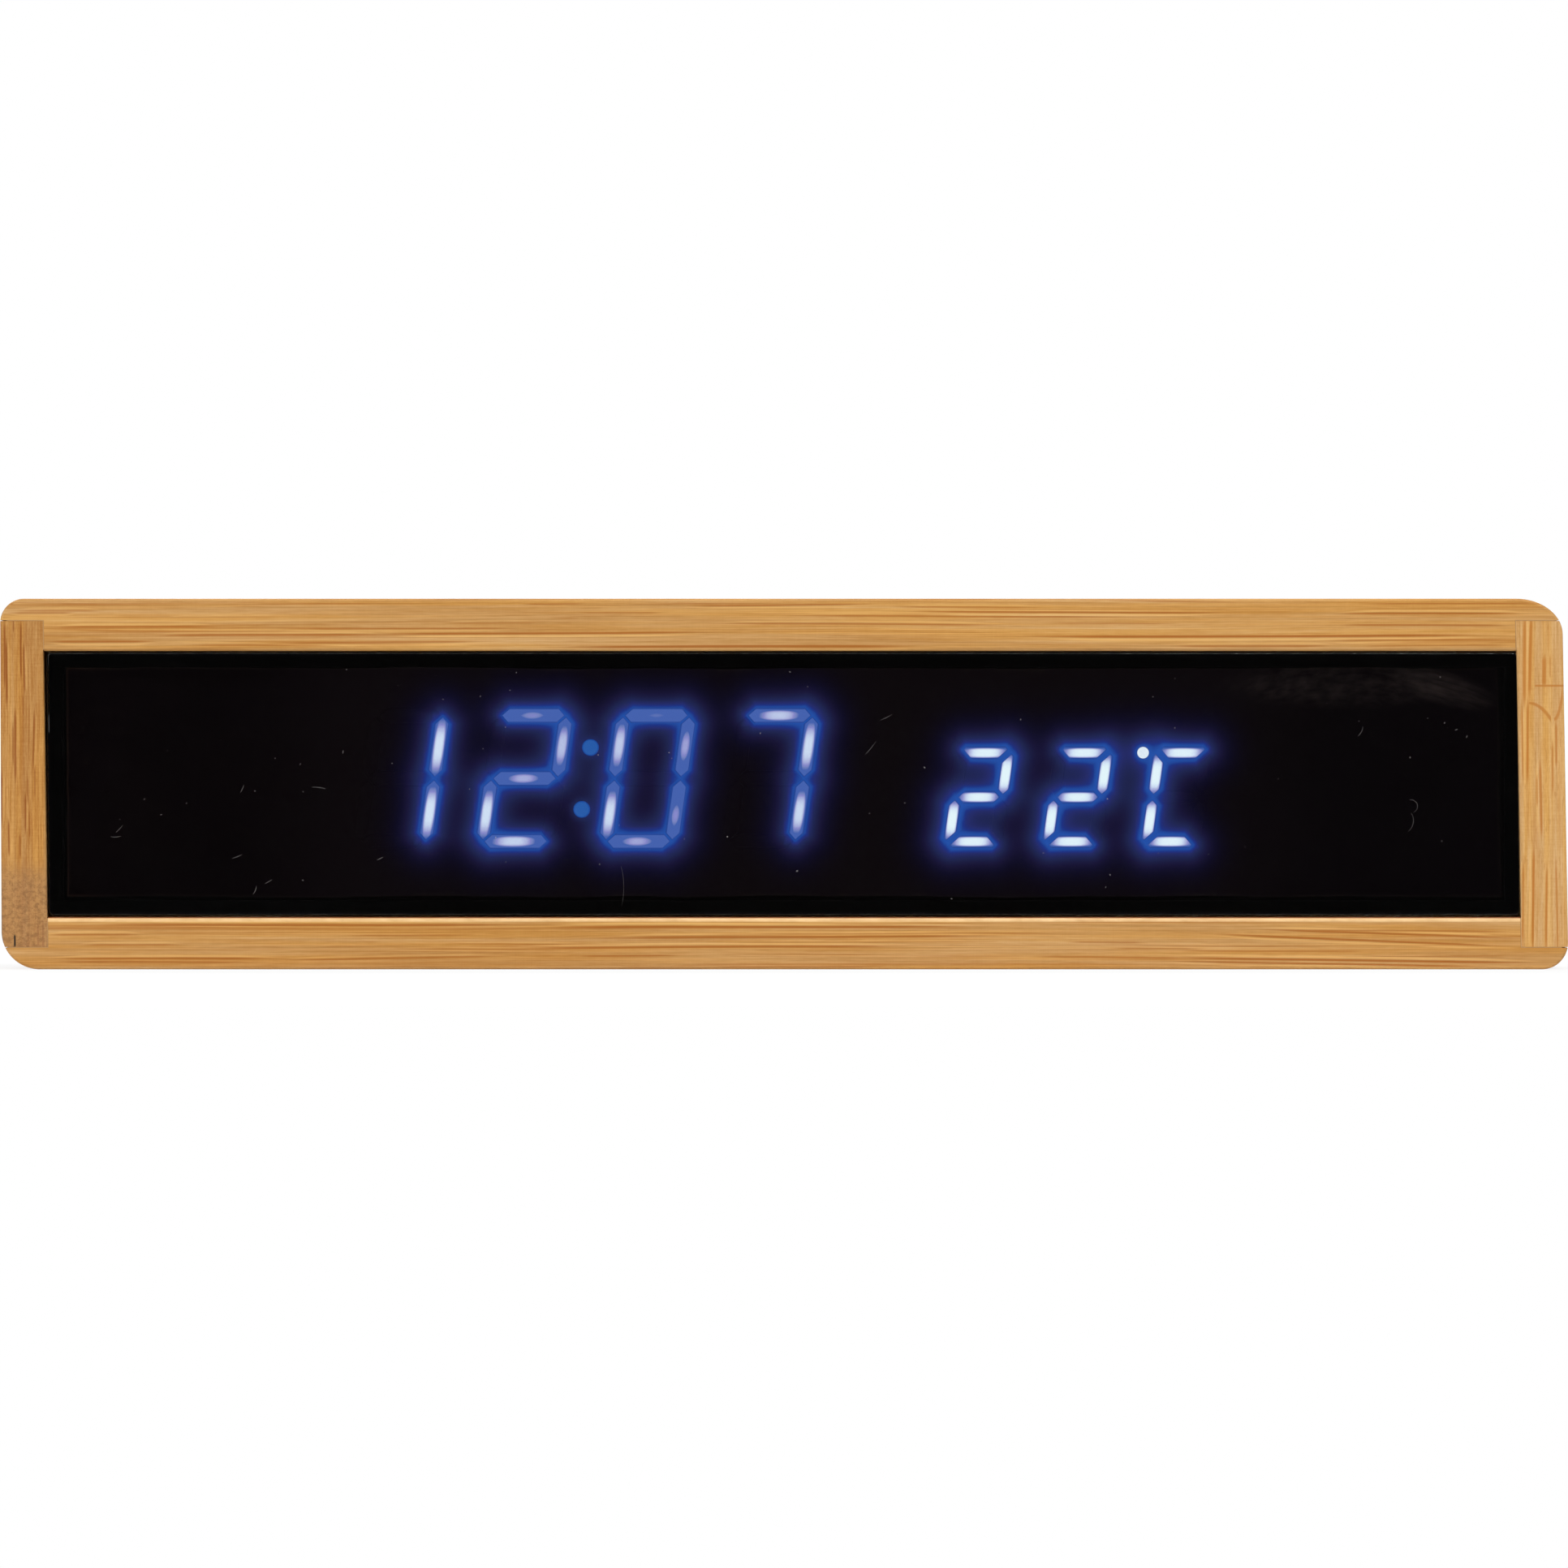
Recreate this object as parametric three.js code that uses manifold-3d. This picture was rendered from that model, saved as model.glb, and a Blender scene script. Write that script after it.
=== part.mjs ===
// A long bamboo desk clock. A rabbeted bamboo sleeve holds a smoked window in front, with a seven-segment
// display for the time and the temperature behind it, and a screwed rear panel that carries the buttons,
// the power inlet and the backup cell.
// Millimetres. +X is to the right seen from the front, +Y is to the back and +Z is up.
// The origin is the middle of the underside.

import * as THREE from "three";
import { mergeVertices } from "three/addons/utils/BufferGeometryUtils.js";
import Module from "manifold-3d";

// Bamboo case
const caseWidth = 225;
const caseHeight = 53.2;
const caseDepth = 40;
const railThickness = 7.5;
const stileThickness = 6.7;
const lapThickness = 3.1;
const cornerRadius = 5;
const outerEase = 0.4;
const innerEase = 0.5;
const postSize = 9;

// Gaps between pieces
const glueLine = 0.1;
const seatGap = 0.05;
const fitGap = 0.25;
const castGap = 0.1;
const threadGap = 0.15;
const screwGap = 0.3;

// Window, its foam tape and the tray behind it
const windowRecess = 0.6;
const windowThickness = 2;
const windowCorner = 0.6;
const windowEase = 0.2;
const tapeThickness = 0.5;
const tapeInset = 0.2;
const rimWidth = 2.1;
const rimDepth = 1.6;
const trayFloor = 2;
const bossRadius = 2.7;
const ribThickness = 1.2;
const ribHeight = 2;
const ribSetback = 0.6;
const filmThickness = 0.3;
const filmCorner = 0.5;

// Display strokes
const slantDegrees = 8;
const timeHeight = 20.3;
const timeWidth = 11.7;
const timeStroke = 2.2;
const timeStrokeGap = 0.2;
const timePitch = 17.7;
const timeCentreX = -28.3;
const timeCentreZ = 0.8;
const colonRadius = 1.22;
const colonSpacing = 8.9;
const warmthHeight = 14.6;
const warmthWidth = 8.6;
const warmthStroke = 1.85;
const warmthCornerGap = 0.62;
const warmthMiddleGap = 0.36;
const warmthPitch = 14.2;
const warmthCentreX = 42.2;
const warmthCentreZ = -1.9;
const degreeRadius = 0.9;
const degreeAside = 5.7;
const degreeRise = 6.4;

// Display module
const moduleMargin = 3.2;
const moduleDepth = 8.5;
const moduleWall = 1.2;
const wellDepth = 5;
const basePlate = 1.2;
const pinWidth = 0.6;
const pinPitch = 20.32;
const pinsInRow = 6;
const pinInset = 2.5;
const pinTail = 1.2;

// Main board and what is soldered to it
const boardThickness = 1.6;
const boardSide = 1;
const boardEdge = 4;
const boardCorner = 1;
const boardScrewInset = 5;
const chipLength = 13;
const chipWidth = 7.5;
const chipHeight = 2.4;
const chipEase = 0.3;
const chipStandOff = 0.25;
const chipX = 24;
const leadsInRow = 10;
const leadPitch = 1.27;
const leadWidth = 0.45;
const leadReach = 1.4;
const leadHeight = 1.1;
const crystalLength = 10.6;
const crystalWidth = 4.2;
const crystalHeight = 3.5;
const crystalRim = 0.5;
const crystalX = 44;
const buzzerRadius = 6;
const buzzerHeight = 8.5;
const buzzerHole = 1.1;
const buzzerFromEnd = 17.7;
const capacitorRadius = 3.15;
const capacitorHeight = 7.7;
const capacitorBase = 1.6;
const capacitorX = -54;
const beadRadius = 1.3;
const beadLead = 0.25;
const beadLeadSpread = 1.4;
const beadToPanel = 3;
const ventFromEnd = 11.7;

// Ribbon between the boards
const ribbonThickness = 0.9;
const ribbonWidth = 8;
const ribbonBend = 1.5;
const ribbonStartX = -34;
const ribbonEndX = 3;
const plugHeight = 3.5;
const plugWall = 1.2;
const plugSlot = 1.6;
const plugClearance = 0.15;

// Rear panel
const panelRecess = 1.6;
const panelThickness = 2;
const panelCorner = 0.6;
const slotWidth = 1.2;
const slotLength = 9;
const slotPitch = 2.6;
const soundSlots = 5;
const ventSlots = 4;

// Buttons
const buttonX = -4;
const buttonPitch = 13;
const buttonTravel = 0.5;
const capRadius = 3.5;
const capProud = 0.9;
const capDish = 0.25;
const capEase = 0.4;
const halfWayDish = 0.19;
const flangeRadius = 4.6;
const flangeThickness = 1;
const buttonPlay = 0.15;
const plungerRadius = 1.6;
const plungerReach = 1.2;
const plungerSink = 1;
const pusherGap = 0.1;
const switchSize = 6;
const switchHeight = 3.5;
const switchEase = 0.3;

// Key board and power inlet
const keyMargin = 8;
const keyHeight = 27;
const keyScrewAside = 11;
const keyBossRadius = 2.5;
const inletX = -46;
const inletWidth = 9;
const inletHeight = 3.3;
const inletWall = 0.35;
const inletSink = 0.6;
const inletClearance = 0.4;
const tongueWidth = 6.6;
const tongueThickness = 0.7;
const tongueBase = 1.5;
const tongueShort = 0.8;

// Backup cell and its door
const hatchX = 48;
const cellRadius = 10;
const cellThickness = 3.2;
const cellStep = 0.6;
const cellCapInset = 1.2;
const cellClearance = 0.4;
const holderWall = 1.2;
const holderFloor = 0.8;
const contactThickness = 0.3;
const contactRadius = 4;
const leafWidth = 5;
const leafFoot = 2;
const doorWidth = 22.4;
const doorHeight = 25;
const doorThickness = 1.8;
const doorGap = 0.3;
const doorStopGap = 0.2;
const doorLedge = 1.2;
const barrelRadius = 1.2;
const hingePinRadius = 0.65;
const hingePinLength = 1.6;
const hingePinGap = 0.2;
const collarWall = 3;
const collarDepth = 1.8;
const doorRibHeight = 1.3;
const doorRibThickness = 1;
const doorRibSpacing = 10;
const scoopRadius = 4;
const scoopDepth = 1.2;

// Screws
const panelShank = 1.1;
const panelHead = 2.3;
const panelHeadHeight = 1.3;
const panelScrewLength = 10;
const boardShank = 1;
const boardHead = 1.9;
const boardHeadHeight = 1.3;
const boardScrewBite = 4.5;
const screwTip = 1;
const crownShare = 0.75;
const crownRise = 0.9;
const crossReach = 1.2;
const crossWidth = 0.6;
const crossDepth = 0.7;

// Facets of round forms, and how far joined and cut solids run into each other
const cornerSteps = 8;
const smallSteps = 3;
const roundSides = 24;
const holeSides = 12;
const weld = 0.5;
const cutOver = 1;

// Stations along the depth of the case, from the front to the back
const frontPlane = -caseDepth / 2;
const rearPlane = caseDepth / 2;
const windowFront = frontPlane + windowRecess;
const windowBack = windowFront + windowThickness;
const trayFront = windowBack + tapeThickness;
const floorFront = trayFront + rimDepth;
const floorBack = floorFront + trayFloor;
const filmFront = floorFront - seatGap - filmThickness;
const moduleBack = floorFront + moduleDepth;
const baseFront = moduleBack - basePlate;
const mainFront = moduleBack + seatGap;
const mainBack = mainFront + boardThickness;
const panelBack = rearPlane - panelRecess;
const panelFront = panelBack - panelThickness;
const capFoot = panelFront - buttonPlay - flangeThickness;
const plungerTop = capFoot - pusherGap;
const switchTop = plungerTop - plungerReach;
const keyBack = switchTop - switchHeight - seatGap;
const keyFront = keyBack - boardThickness;

// The mouth of the sleeve and what fills it
const halfWidth = caseWidth / 2;
const halfHeight = caseHeight / 2;
const openingWidth = caseWidth - 2 * stileThickness;
const openingHeight = caseHeight - 2 * railThickness;
const fillWidth = openingWidth - 2 * fitGap;
const fillHeight = openingHeight - 2 * fitGap;
const fieldWidth = fillWidth - 2 * rimWidth;
const fieldHeight = fillHeight - 2 * rimWidth;
const postX = openingWidth / 2 - glueLine - postSize / 2;
const postZ = openingHeight / 2 - glueLine - postSize / 2;
const mainWidth = 2 * (postX - postSize / 2 - boardSide);
const mainHeight = openingHeight - 2 * boardEdge;
const buzzerX = buzzerFromEnd - mainWidth / 2;
const ventX = mainWidth / 2 - ventFromEnd;
const mainScrewX = mainWidth / 2 - boardScrewInset;
const mainScrewZ = mainHeight / 2 - boardScrewInset;
const signs = [-1, 1];
const corners = signs.flatMap((side) => signs.map((rise) => [side, rise]));

const wasm = await Module();
wasm.setup();

// Solids that can be joined and cut

function solidOf(geometry) {
  const bare = geometry.clone();
  bare.deleteAttribute("normal");
  bare.deleteAttribute("uv");
  const merged = mergeVertices(bare, 1e-4);
  const vertProperties = new Float32Array(merged.attributes.position.array);
  const triVerts = new Uint32Array(merged.index.array);
  return new wasm.Manifold(new wasm.Mesh({ numProp: 3, vertProperties, triVerts }));
}

function geometryOf(solid) {
  const mesh = solid.getMesh();
  const geometry = new THREE.BufferGeometry();
  geometry.setAttribute("position", new THREE.BufferAttribute(new Float32Array(mesh.vertProperties), 3));
  geometry.setIndex(new THREE.BufferAttribute(new Uint32Array(mesh.triVerts), 1));
  geometry.computeVertexNormals();
  return geometry;
}

function join(first, ...others) {
  return geometryOf(others.reduce((solid, other) => solid.add(solidOf(other)), solidOf(first)));
}

function cut(first, ...tools) {
  return geometryOf(tools.reduce((solid, tool) => solid.subtract(solidOf(tool)), solidOf(first)));
}

function overlap(first, second) {
  return geometryOf(solidOf(first).intersect(solidOf(second)));
}

// Outlines, as points in the plane of the front view

function arc(x, y, radius, from, to, steps) {
  return Array.from({ length: steps + 1 }, (_, step) => {
    const angle = from + ((to - from) * step) / steps;
    return new THREE.Vector2(x + radius * Math.cos(angle), y + radius * Math.sin(angle));
  });
}

function disc(radius, x = 0, y = 0, sides = holeSides) {
  return arc(x, y, radius, 0, 2 * Math.PI, sides).slice(1);
}

function rectangle(width, height, x = 0, y = 0) {
  return [[-1, -1], [1, -1], [1, 1], [-1, 1]].map(
    ([side, rise]) => new THREE.Vector2(x + (side * width) / 2, y + (rise * height) / 2),
  );
}

function roundedRectangle(width, height, radius, steps) {
  const aside = width / 2 - radius;
  const above = height / 2 - radius;
  return [[1, 1], [-1, 1], [-1, -1], [1, -1]].flatMap(([side, rise], quarter) =>
    arc(side * aside, rise * above, radius, (quarter * Math.PI) / 2, ((quarter + 1) * Math.PI) / 2, steps),
  );
}

function obround(width, height, x = 0, y = 0, steps = 4) {
  const radius = Math.min(width, height) / 2;
  const aside = width / 2 - radius;
  const above = height / 2 - radius;
  const start = width > height ? -Math.PI / 2 : 0;
  return [
    ...arc(x + aside, y + above, radius, start, start + Math.PI, steps),
    ...arc(x - aside, y - above, radius, start + Math.PI, start + 2 * Math.PI, steps),
  ];
}

// A convex outline drawn in by a gap on every edge
function shrunk(points, gap) {
  const centre = points.reduce((sum, p) => sum.add(p), new THREE.Vector2()).divideScalar(points.length);
  const edges = points.map((p, index) => {
    const along = points[(index + 1) % points.length].clone().sub(p).normalize();
    const inward = new THREE.Vector2(-along.y, along.x);
    inward.multiplyScalar(Math.sign(inward.dot(centre.clone().sub(p))));
    return { inward, reach: inward.dot(p) + gap };
  });
  return edges.map((edge, index) => {
    const before = edges[(index + edges.length - 1) % edges.length];
    const spread = before.inward.cross(edge.inward);
    return new THREE.Vector2(
      (before.reach * edge.inward.y - edge.reach * before.inward.y) / spread,
      (edge.reach * before.inward.x - before.reach * edge.inward.x) / spread,
    );
  });
}

// Forms

// A plate with the given front-view outline, from y = 0 to its thickness
function plate(points, thickness, ease = 0) {
  const geometry = new THREE.ExtrudeGeometry(new THREE.Shape(points), {
    depth: thickness - 2 * ease,
    bevelEnabled: ease > 0,
    bevelThickness: ease,
    bevelSize: ease,
    bevelOffset: -ease,
    bevelSegments: 1,
  });
  return geometry.rotateX(Math.PI / 2).translate(0, thickness - ease, 0);
}

function piercedPlate(points, thickness, holes) {
  const punches = holes.map((hole) => plate(hole, thickness + 2 * cutOver).translate(0, -cutOver, 0));
  return cut(plate(points, thickness), ...punches);
}

// A bar with the given side-view outline of depth and height, centred across the width
function bar(points, width) {
  const geometry = new THREE.ExtrudeGeometry(new THREE.Shape(points), { depth: width, bevelEnabled: false });
  const sideView = new THREE.Matrix4().makeBasis(
    new THREE.Vector3(0, 1, 0),
    new THREE.Vector3(0, 0, 1),
    new THREE.Vector3(1, 0, 0),
  );
  return geometry.translate(0, 0, -width / 2).applyMatrix4(sideView);
}

function block(width, depth, height, x, yFront, z) {
  return new THREE.BoxGeometry(width, depth, height).translate(x, yFront + depth / 2, z);
}

function rod(radius, yFrom, yTo, x = 0, z = 0, sides = holeSides) {
  return new THREE.CylinderGeometry(radius, radius, yTo - yFrom, sides).translate(x, (yFrom + yTo) / 2, z);
}

function turned(profile, sides = roundSides) {
  return new THREE.LatheGeometry(profile.map(([radius, y]) => new THREE.Vector2(radius, y)), sides);
}

// Bamboo case

function caseEnvelope() {
  const outline = roundedRectangle(caseWidth, caseHeight, cornerRadius, cornerSteps);
  return plate(outline, caseDepth, outerEase).translate(0, frontPlane, 0);
}

// Cutter that eases the inner edges at one mouth of the sleeve: its narrow end points into the sleeve
function mouthCutter(plane, turn) {
  const geometry = new THREE.ExtrudeGeometry(new THREE.Shape(rectangle(openingWidth, openingHeight)), {
    depth: cutOver,
    bevelThickness: innerEase,
    bevelSize: innerEase,
    bevelSegments: 1,
  });
  return geometry.rotateX(turn).translate(0, plane, 0);
}

function board(outline) {
  const blank = plate(outline, caseDepth).translate(0, frontPlane, 0);
  const frontMouth = mouthCutter(frontPlane, Math.PI / 2);
  const rearMouth = mouthCutter(rearPlane, -Math.PI / 2);
  return cut(overlap(blank, caseEnvelope()), frontMouth, rearMouth);
}

// Top or bottom board: its outer strip laps over the ends of the side boards
function rail(rise) {
  const shoulder = openingWidth / 2 - glueLine;
  const lap = halfHeight - lapThickness;
  const inner = halfHeight - railThickness;
  const right = [[halfWidth, halfHeight], [halfWidth, lap], [shoulder, lap], [shoulder, inner]];
  const left = right.map(([x, z]) => [-x, z]).reverse();
  return board([...right, ...left].map(([x, z]) => new THREE.Vector2(x, rise * z)));
}

function stile(side) {
  const length = 2 * (halfHeight - lapThickness - glueLine);
  return board(rectangle(stileThickness, length, side * (halfWidth - stileThickness / 2)));
}

const postLength = panelFront - floorBack - 2 * seatGap;

// Corner post, bored from the rear for a panel screw
function post() {
  const bore = rod(panelShank + threadGap, postLength - panelScrewLength, postLength + cutOver);
  return cut(plate(rectangle(postSize, postSize), postLength), bore);
}

// Window and tape

function windowPane() {
  const outline = roundedRectangle(fillWidth, fillHeight, windowCorner, smallSteps);
  return plate(outline, windowThickness, windowEase);
}

const tapeWidth = rimWidth - 2 * tapeInset;
const tapeDepth = tapeThickness - 2 * seatGap;
const longTape = fillWidth - 2 * tapeInset;
const shortTape = fillHeight - 2 * rimWidth;

// Display strokes, in the order top, upper right, lower right, bottom, lower left, upper left, middle

function mirrored(points, side, rise) {
  return points.map((p) => new THREE.Vector2(side * p.x, rise * p.y));
}

function hexagon(x, y, halfLength, half) {
  const right = [[halfLength - half, half], [halfLength, 0], [halfLength - half, -half]];
  const left = right.map(([along, across]) => [-along, -across]);
  return [...right, ...left].map(([along, across]) => new THREE.Vector2(x + along, y + across));
}

// Every stroke of the time digits is pointed at both ends
function pointedStrokes() {
  const half = timeStroke / 2;
  const lineX = timeWidth / 2 - half;
  const lineZ = timeHeight / 2 - half;
  const middle = hexagon(0, 0, lineX - timeStrokeGap, half);
  const top = middle.map((p) => new THREE.Vector2(p.x, p.y + lineZ));
  const upright = hexagon(lineZ / 2, 0, lineZ / 2 - timeStrokeGap, half);
  const upperRight = upright.map((p) => new THREE.Vector2(lineX + p.y, p.x));
  return sevenStrokes(top, upperRight, middle);
}

// The outer strokes of the temperature digits are mitred at the corners
function mitredStrokes() {
  const half = warmthStroke / 2;
  const corner = warmthCornerGap;
  const gap = warmthMiddleGap;
  const lineX = warmthWidth / 2 - half;
  const lineZ = warmthHeight / 2 - half;
  const outerX = lineX + half;
  const innerX = lineX - half;
  const outerZ = lineZ + half;
  const innerZ = lineZ - half;
  const middle = hexagon(0, 0, lineX - gap, half);
  const topRight = [[outerX - corner, outerZ], [innerX - corner, innerZ]];
  const top = [[corner - outerX, outerZ], ...topRight, [corner - innerX, innerZ]];
  const upperRight = [
    [outerX, outerZ - corner],
    [outerX, half + gap],
    [lineX, gap],
    [innerX, half + gap],
    [innerX, innerZ - corner],
  ];
  const points = (list) => list.map(([x, z]) => new THREE.Vector2(x, z));
  return sevenStrokes(points(top), points(upperRight), middle);
}

function sevenStrokes(top, upperRight, middle) {
  return [
    top,
    upperRight,
    mirrored(upperRight, 1, -1),
    mirrored(top, 1, -1),
    mirrored(upperRight, -1, -1),
    mirrored(upperRight, -1, 1),
    middle,
  ];
}

// The outlines of every stroke and dot on the display, slanted and in place
function displayOutlines() {
  const slant = Math.tan(THREE.MathUtils.degToRad(slantDegrees));
  const place = (points, x, z) => points.map((p) => new THREE.Vector2(x + p.x + slant * p.y, z + p.y));
  const time = [-1.5, -0.5, 0.5, 1.5].flatMap((step) =>
    pointedStrokes().map((stroke) => place(stroke, timeCentreX + step * timePitch, timeCentreZ)),
  );
  const colon = signs.map((rise) => {
    const z = (rise * colonSpacing) / 2;
    return disc(colonRadius, timeCentreX + slant * z, timeCentreZ + z);
  });
  const warmth = [-1, 0, 1].flatMap((step) =>
    mitredStrokes().map((stroke) => place(stroke, warmthCentreX + step * warmthPitch, warmthCentreZ)),
  );
  const degreeX = warmthCentreX + warmthPitch - degreeAside + slant * degreeRise;
  const degree = disc(degreeRadius, degreeX, warmthCentreZ + degreeRise);
  return [...time, ...colon, ...warmth, degree];
}

const outlines = displayOutlines();
const outlineBox = new THREE.Box2().setFromPoints(outlines.flat());
const moduleCentre = outlineBox.getCenter(new THREE.Vector2());
const moduleSize = outlineBox.getSize(new THREE.Vector2()).addScalar(2 * moduleMargin);
const cavitySize = moduleSize.clone().subScalar(2 * moduleWall);
const moduleOutline = rectangle(moduleSize.x, moduleSize.y, moduleCentre.x, moduleCentre.y);

// Tray, film and display module

const mainScrewPlaces = corners.map(([side, rise]) => [side * mainScrewX, rise * mainScrewZ]);

// Shallow black tray: a raised rim round the field, an opening for the module, and bosses behind
function displayTray() {
  const depth = rimDepth + trayFloor;
  const bossEnd = mainFront - seatGap - trayFront;
  const openingX = moduleSize.x + 2 * fitGap;
  const openingZ = moduleSize.y + 2 * fitGap;
  const body = plate(roundedRectangle(fillWidth, fillHeight, windowCorner, smallSteps), depth);
  const field = block(fieldWidth, rimDepth + cutOver, fieldHeight, 0, -cutOver, 0);
  const holeDepth = depth + 2 * cutOver;
  const moduleHole = block(openingX, holeDepth, openingZ, moduleCentre.x, -cutOver, moduleCentre.y);
  const ribs = signs.map((rise) => {
    const ribZ = moduleCentre.y + rise * (openingZ / 2 + ribSetback + ribThickness / 2);
    return block(openingX, ribHeight + weld, ribThickness, moduleCentre.x, depth - weld, ribZ);
  });
  const bosses = mainScrewPlaces.map(([x, z]) => rod(bossRadius, depth - weld, bossEnd, x, z));
  const bores = mainScrewPlaces.map(([x, z]) =>
    rod(boardShank + threadGap, depth, bossEnd + cutOver, x, z),
  );
  return cut(join(body, ...ribs, ...bosses), field, moduleHole, ...bores);
}

// Dark film over the tray's floor and the module, with a window for every stroke
function faceFilm() {
  const width = fieldWidth - 2 * fitGap;
  const height = fieldHeight - 2 * fitGap;
  const outline = roundedRectangle(width, height, filmCorner, smallSteps);
  return piercedPlate(outline, filmThickness, outlines);
}

// Reflector block with a well for every stroke and a cavity behind for the resin and the base
function displayHousing() {
  const cavityDepth = moduleDepth - wellDepth + cutOver;
  const cavity = block(cavitySize.x, cavityDepth, cavitySize.y, moduleCentre.x, wellDepth, moduleCentre.y);
  return cut(piercedPlate(moduleOutline, moduleDepth, outlines), cavity);
}

// Clear resin: a slab in the housing's cavity that rises through every well to the film's face
function strokeResin() {
  const slabFront = floorFront + wellDepth + castGap;
  const slabDepth = baseFront - seatGap - slabFront;
  const slabX = cavitySize.x - 2 * castGap;
  const slabZ = cavitySize.y - 2 * castGap;
  const slab = block(slabX, slabDepth, slabZ, moduleCentre.x, slabFront - filmFront, moduleCentre.y);
  const rise = slabFront + weld - filmFront;
  return join(slab, ...outlines.map((outline) => plate(shrunk(outline, castGap), rise)));
}

const pinRow = Array.from({ length: pinsInRow }, (_, index) => (index - (pinsInRow - 1) / 2) * pinPitch);
const pinPlaces = signs.flatMap((rise) =>
  pinRow.map((x) => [moduleCentre.x + x, moduleCentre.y + rise * (cavitySize.y / 2 - pinInset)]),
);

// Module's own circuit board, with two rows of pins that pass through the main board
function displayBase() {
  const outline = rectangle(
    cavitySize.x - 2 * castGap,
    cavitySize.y - 2 * castGap,
    moduleCentre.x,
    moduleCentre.y,
  );
  const pinLength = weld + mainBack + pinTail - moduleBack;
  const pins = pinPlaces.map(([x, z]) => block(pinWidth, pinLength, pinWidth, x, basePlate - weld, z));
  return join(plate(outline, basePlate), ...pins);
}

// Main board and its components

function mainBoard() {
  const screwHoles = mainScrewPlaces.map(([x, z]) => disc(boardShank + screwGap, x, z));
  const pinHoles = pinPlaces.map(([x, z]) => disc(pinWidth, x, z, 6));
  const outline = roundedRectangle(mainWidth, mainHeight, boardCorner, smallSteps);
  return piercedPlate(outline, boardThickness, [...screwHoles, ...pinHoles]);
}

function microcontroller() {
  const body = plate(rectangle(chipLength, chipWidth), chipHeight, chipEase);
  const leads = Array.from({ length: leadsInRow }, (_, index) => {
    const x = (index - (leadsInRow - 1) / 2) * leadPitch;
    return block(leadWidth, leadHeight, chipWidth + 2 * leadReach, x, -chipStandOff, 0);
  });
  return join(body, ...leads).translate(0, chipStandOff, 0);
}

function crystal() {
  const rim = plate(obround(crystalLength + 2 * crystalRim, crystalWidth + 2 * crystalRim), crystalRim);
  return join(rim, plate(obround(crystalLength, crystalWidth), crystalHeight, crystalRim));
}

function buzzer() {
  const edge = buzzerHole / 2;
  return turned([
    [0, 0],
    [buzzerRadius, 0],
    [buzzerRadius, buzzerHeight - edge],
    [buzzerRadius - edge, buzzerHeight],
    [buzzerHole, buzzerHeight],
    [buzzerHole, buzzerHeight / 2],
    [0, buzzerHeight / 2],
  ]);
}

function capacitor() {
  const groove = capacitorRadius / 8;
  const can = turned([
    [0, 0],
    [capacitorRadius, 0],
    [capacitorRadius, capacitorBase],
    [capacitorRadius - groove, capacitorBase + groove],
    [capacitorRadius, capacitorBase + 2 * groove],
    [capacitorRadius, capacitorHeight - groove],
    [capacitorRadius - groove, capacitorHeight],
    [0, capacitorHeight],
  ], 16);
  return join(can, plate(rectangle(2 * capacitorRadius, 2 * capacitorRadius), capacitorBase));
}

// Temperature bead on two stiff leads, just inside the vent slots
function thermistor() {
  const beadY = panelFront - beadToPanel - mainBack - seatGap;
  const bead = new THREE.SphereGeometry(beadRadius, 12, 8).translate(0, beadY, 0);
  const leads = signs.map((side) => rod(beadLead, 0, beadY, (side * beadLeadSpread) / 2, 0, 6));
  return join(bead, ...leads);
}

// Ribbon and its two plugs

const plugLong = ribbonWidth + 2 * (plugWall + plugClearance);
const plugShort = ribbonThickness + 2 * (plugWall + plugClearance);

// Plug with a slot at its far end for the ribbon, standing towards the back
function ribbonPlug() {
  const slotShort = ribbonThickness + 2 * plugClearance;
  const slotLong = ribbonWidth + 2 * plugClearance;
  const slot = block(slotShort, plugSlot + cutOver, slotLong, 0, plugHeight - plugSlot, 0);
  return cut(block(plugShort, plugHeight, plugLong, 0, 0, 0), slot);
}

// Flat ribbon: out of one plug, across and into the other, drawn in the plan view
function ribbonCable() {
  const half = ribbonThickness / 2;
  const start = mainBack + seatGap + plugHeight - plugSlot + plugClearance;
  const end = keyFront - seatGap - plugHeight + plugSlot - plugClearance;
  const run = (start + end) / 2;
  const firstX = ribbonStartX + ribbonBend;
  const lastX = ribbonEndX - ribbonBend;
  const quarter = Math.PI / 2;
  const outline = [
    new THREE.Vector2(ribbonStartX - half, start),
    ...arc(firstX, run - ribbonBend, ribbonBend + half, 2 * quarter, quarter, smallSteps),
    ...arc(lastX, run + ribbonBend, ribbonBend - half, -quarter, 0, smallSteps),
    new THREE.Vector2(ribbonEndX - half, end),
    new THREE.Vector2(ribbonEndX + half, end),
    ...arc(lastX, run + ribbonBend, ribbonBend + half, 0, -quarter, smallSteps),
    ...arc(firstX, run - ribbonBend, ribbonBend - half, quarter, 2 * quarter, smallSteps),
    new THREE.Vector2(ribbonStartX + half, start),
  ];
  const shape = new THREE.Shape(outline);
  const strip = new THREE.ExtrudeGeometry(shape, { depth: ribbonWidth, bevelEnabled: false });
  return strip.translate(0, 0, -ribbonWidth / 2);
}

// Rear panel

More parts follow.
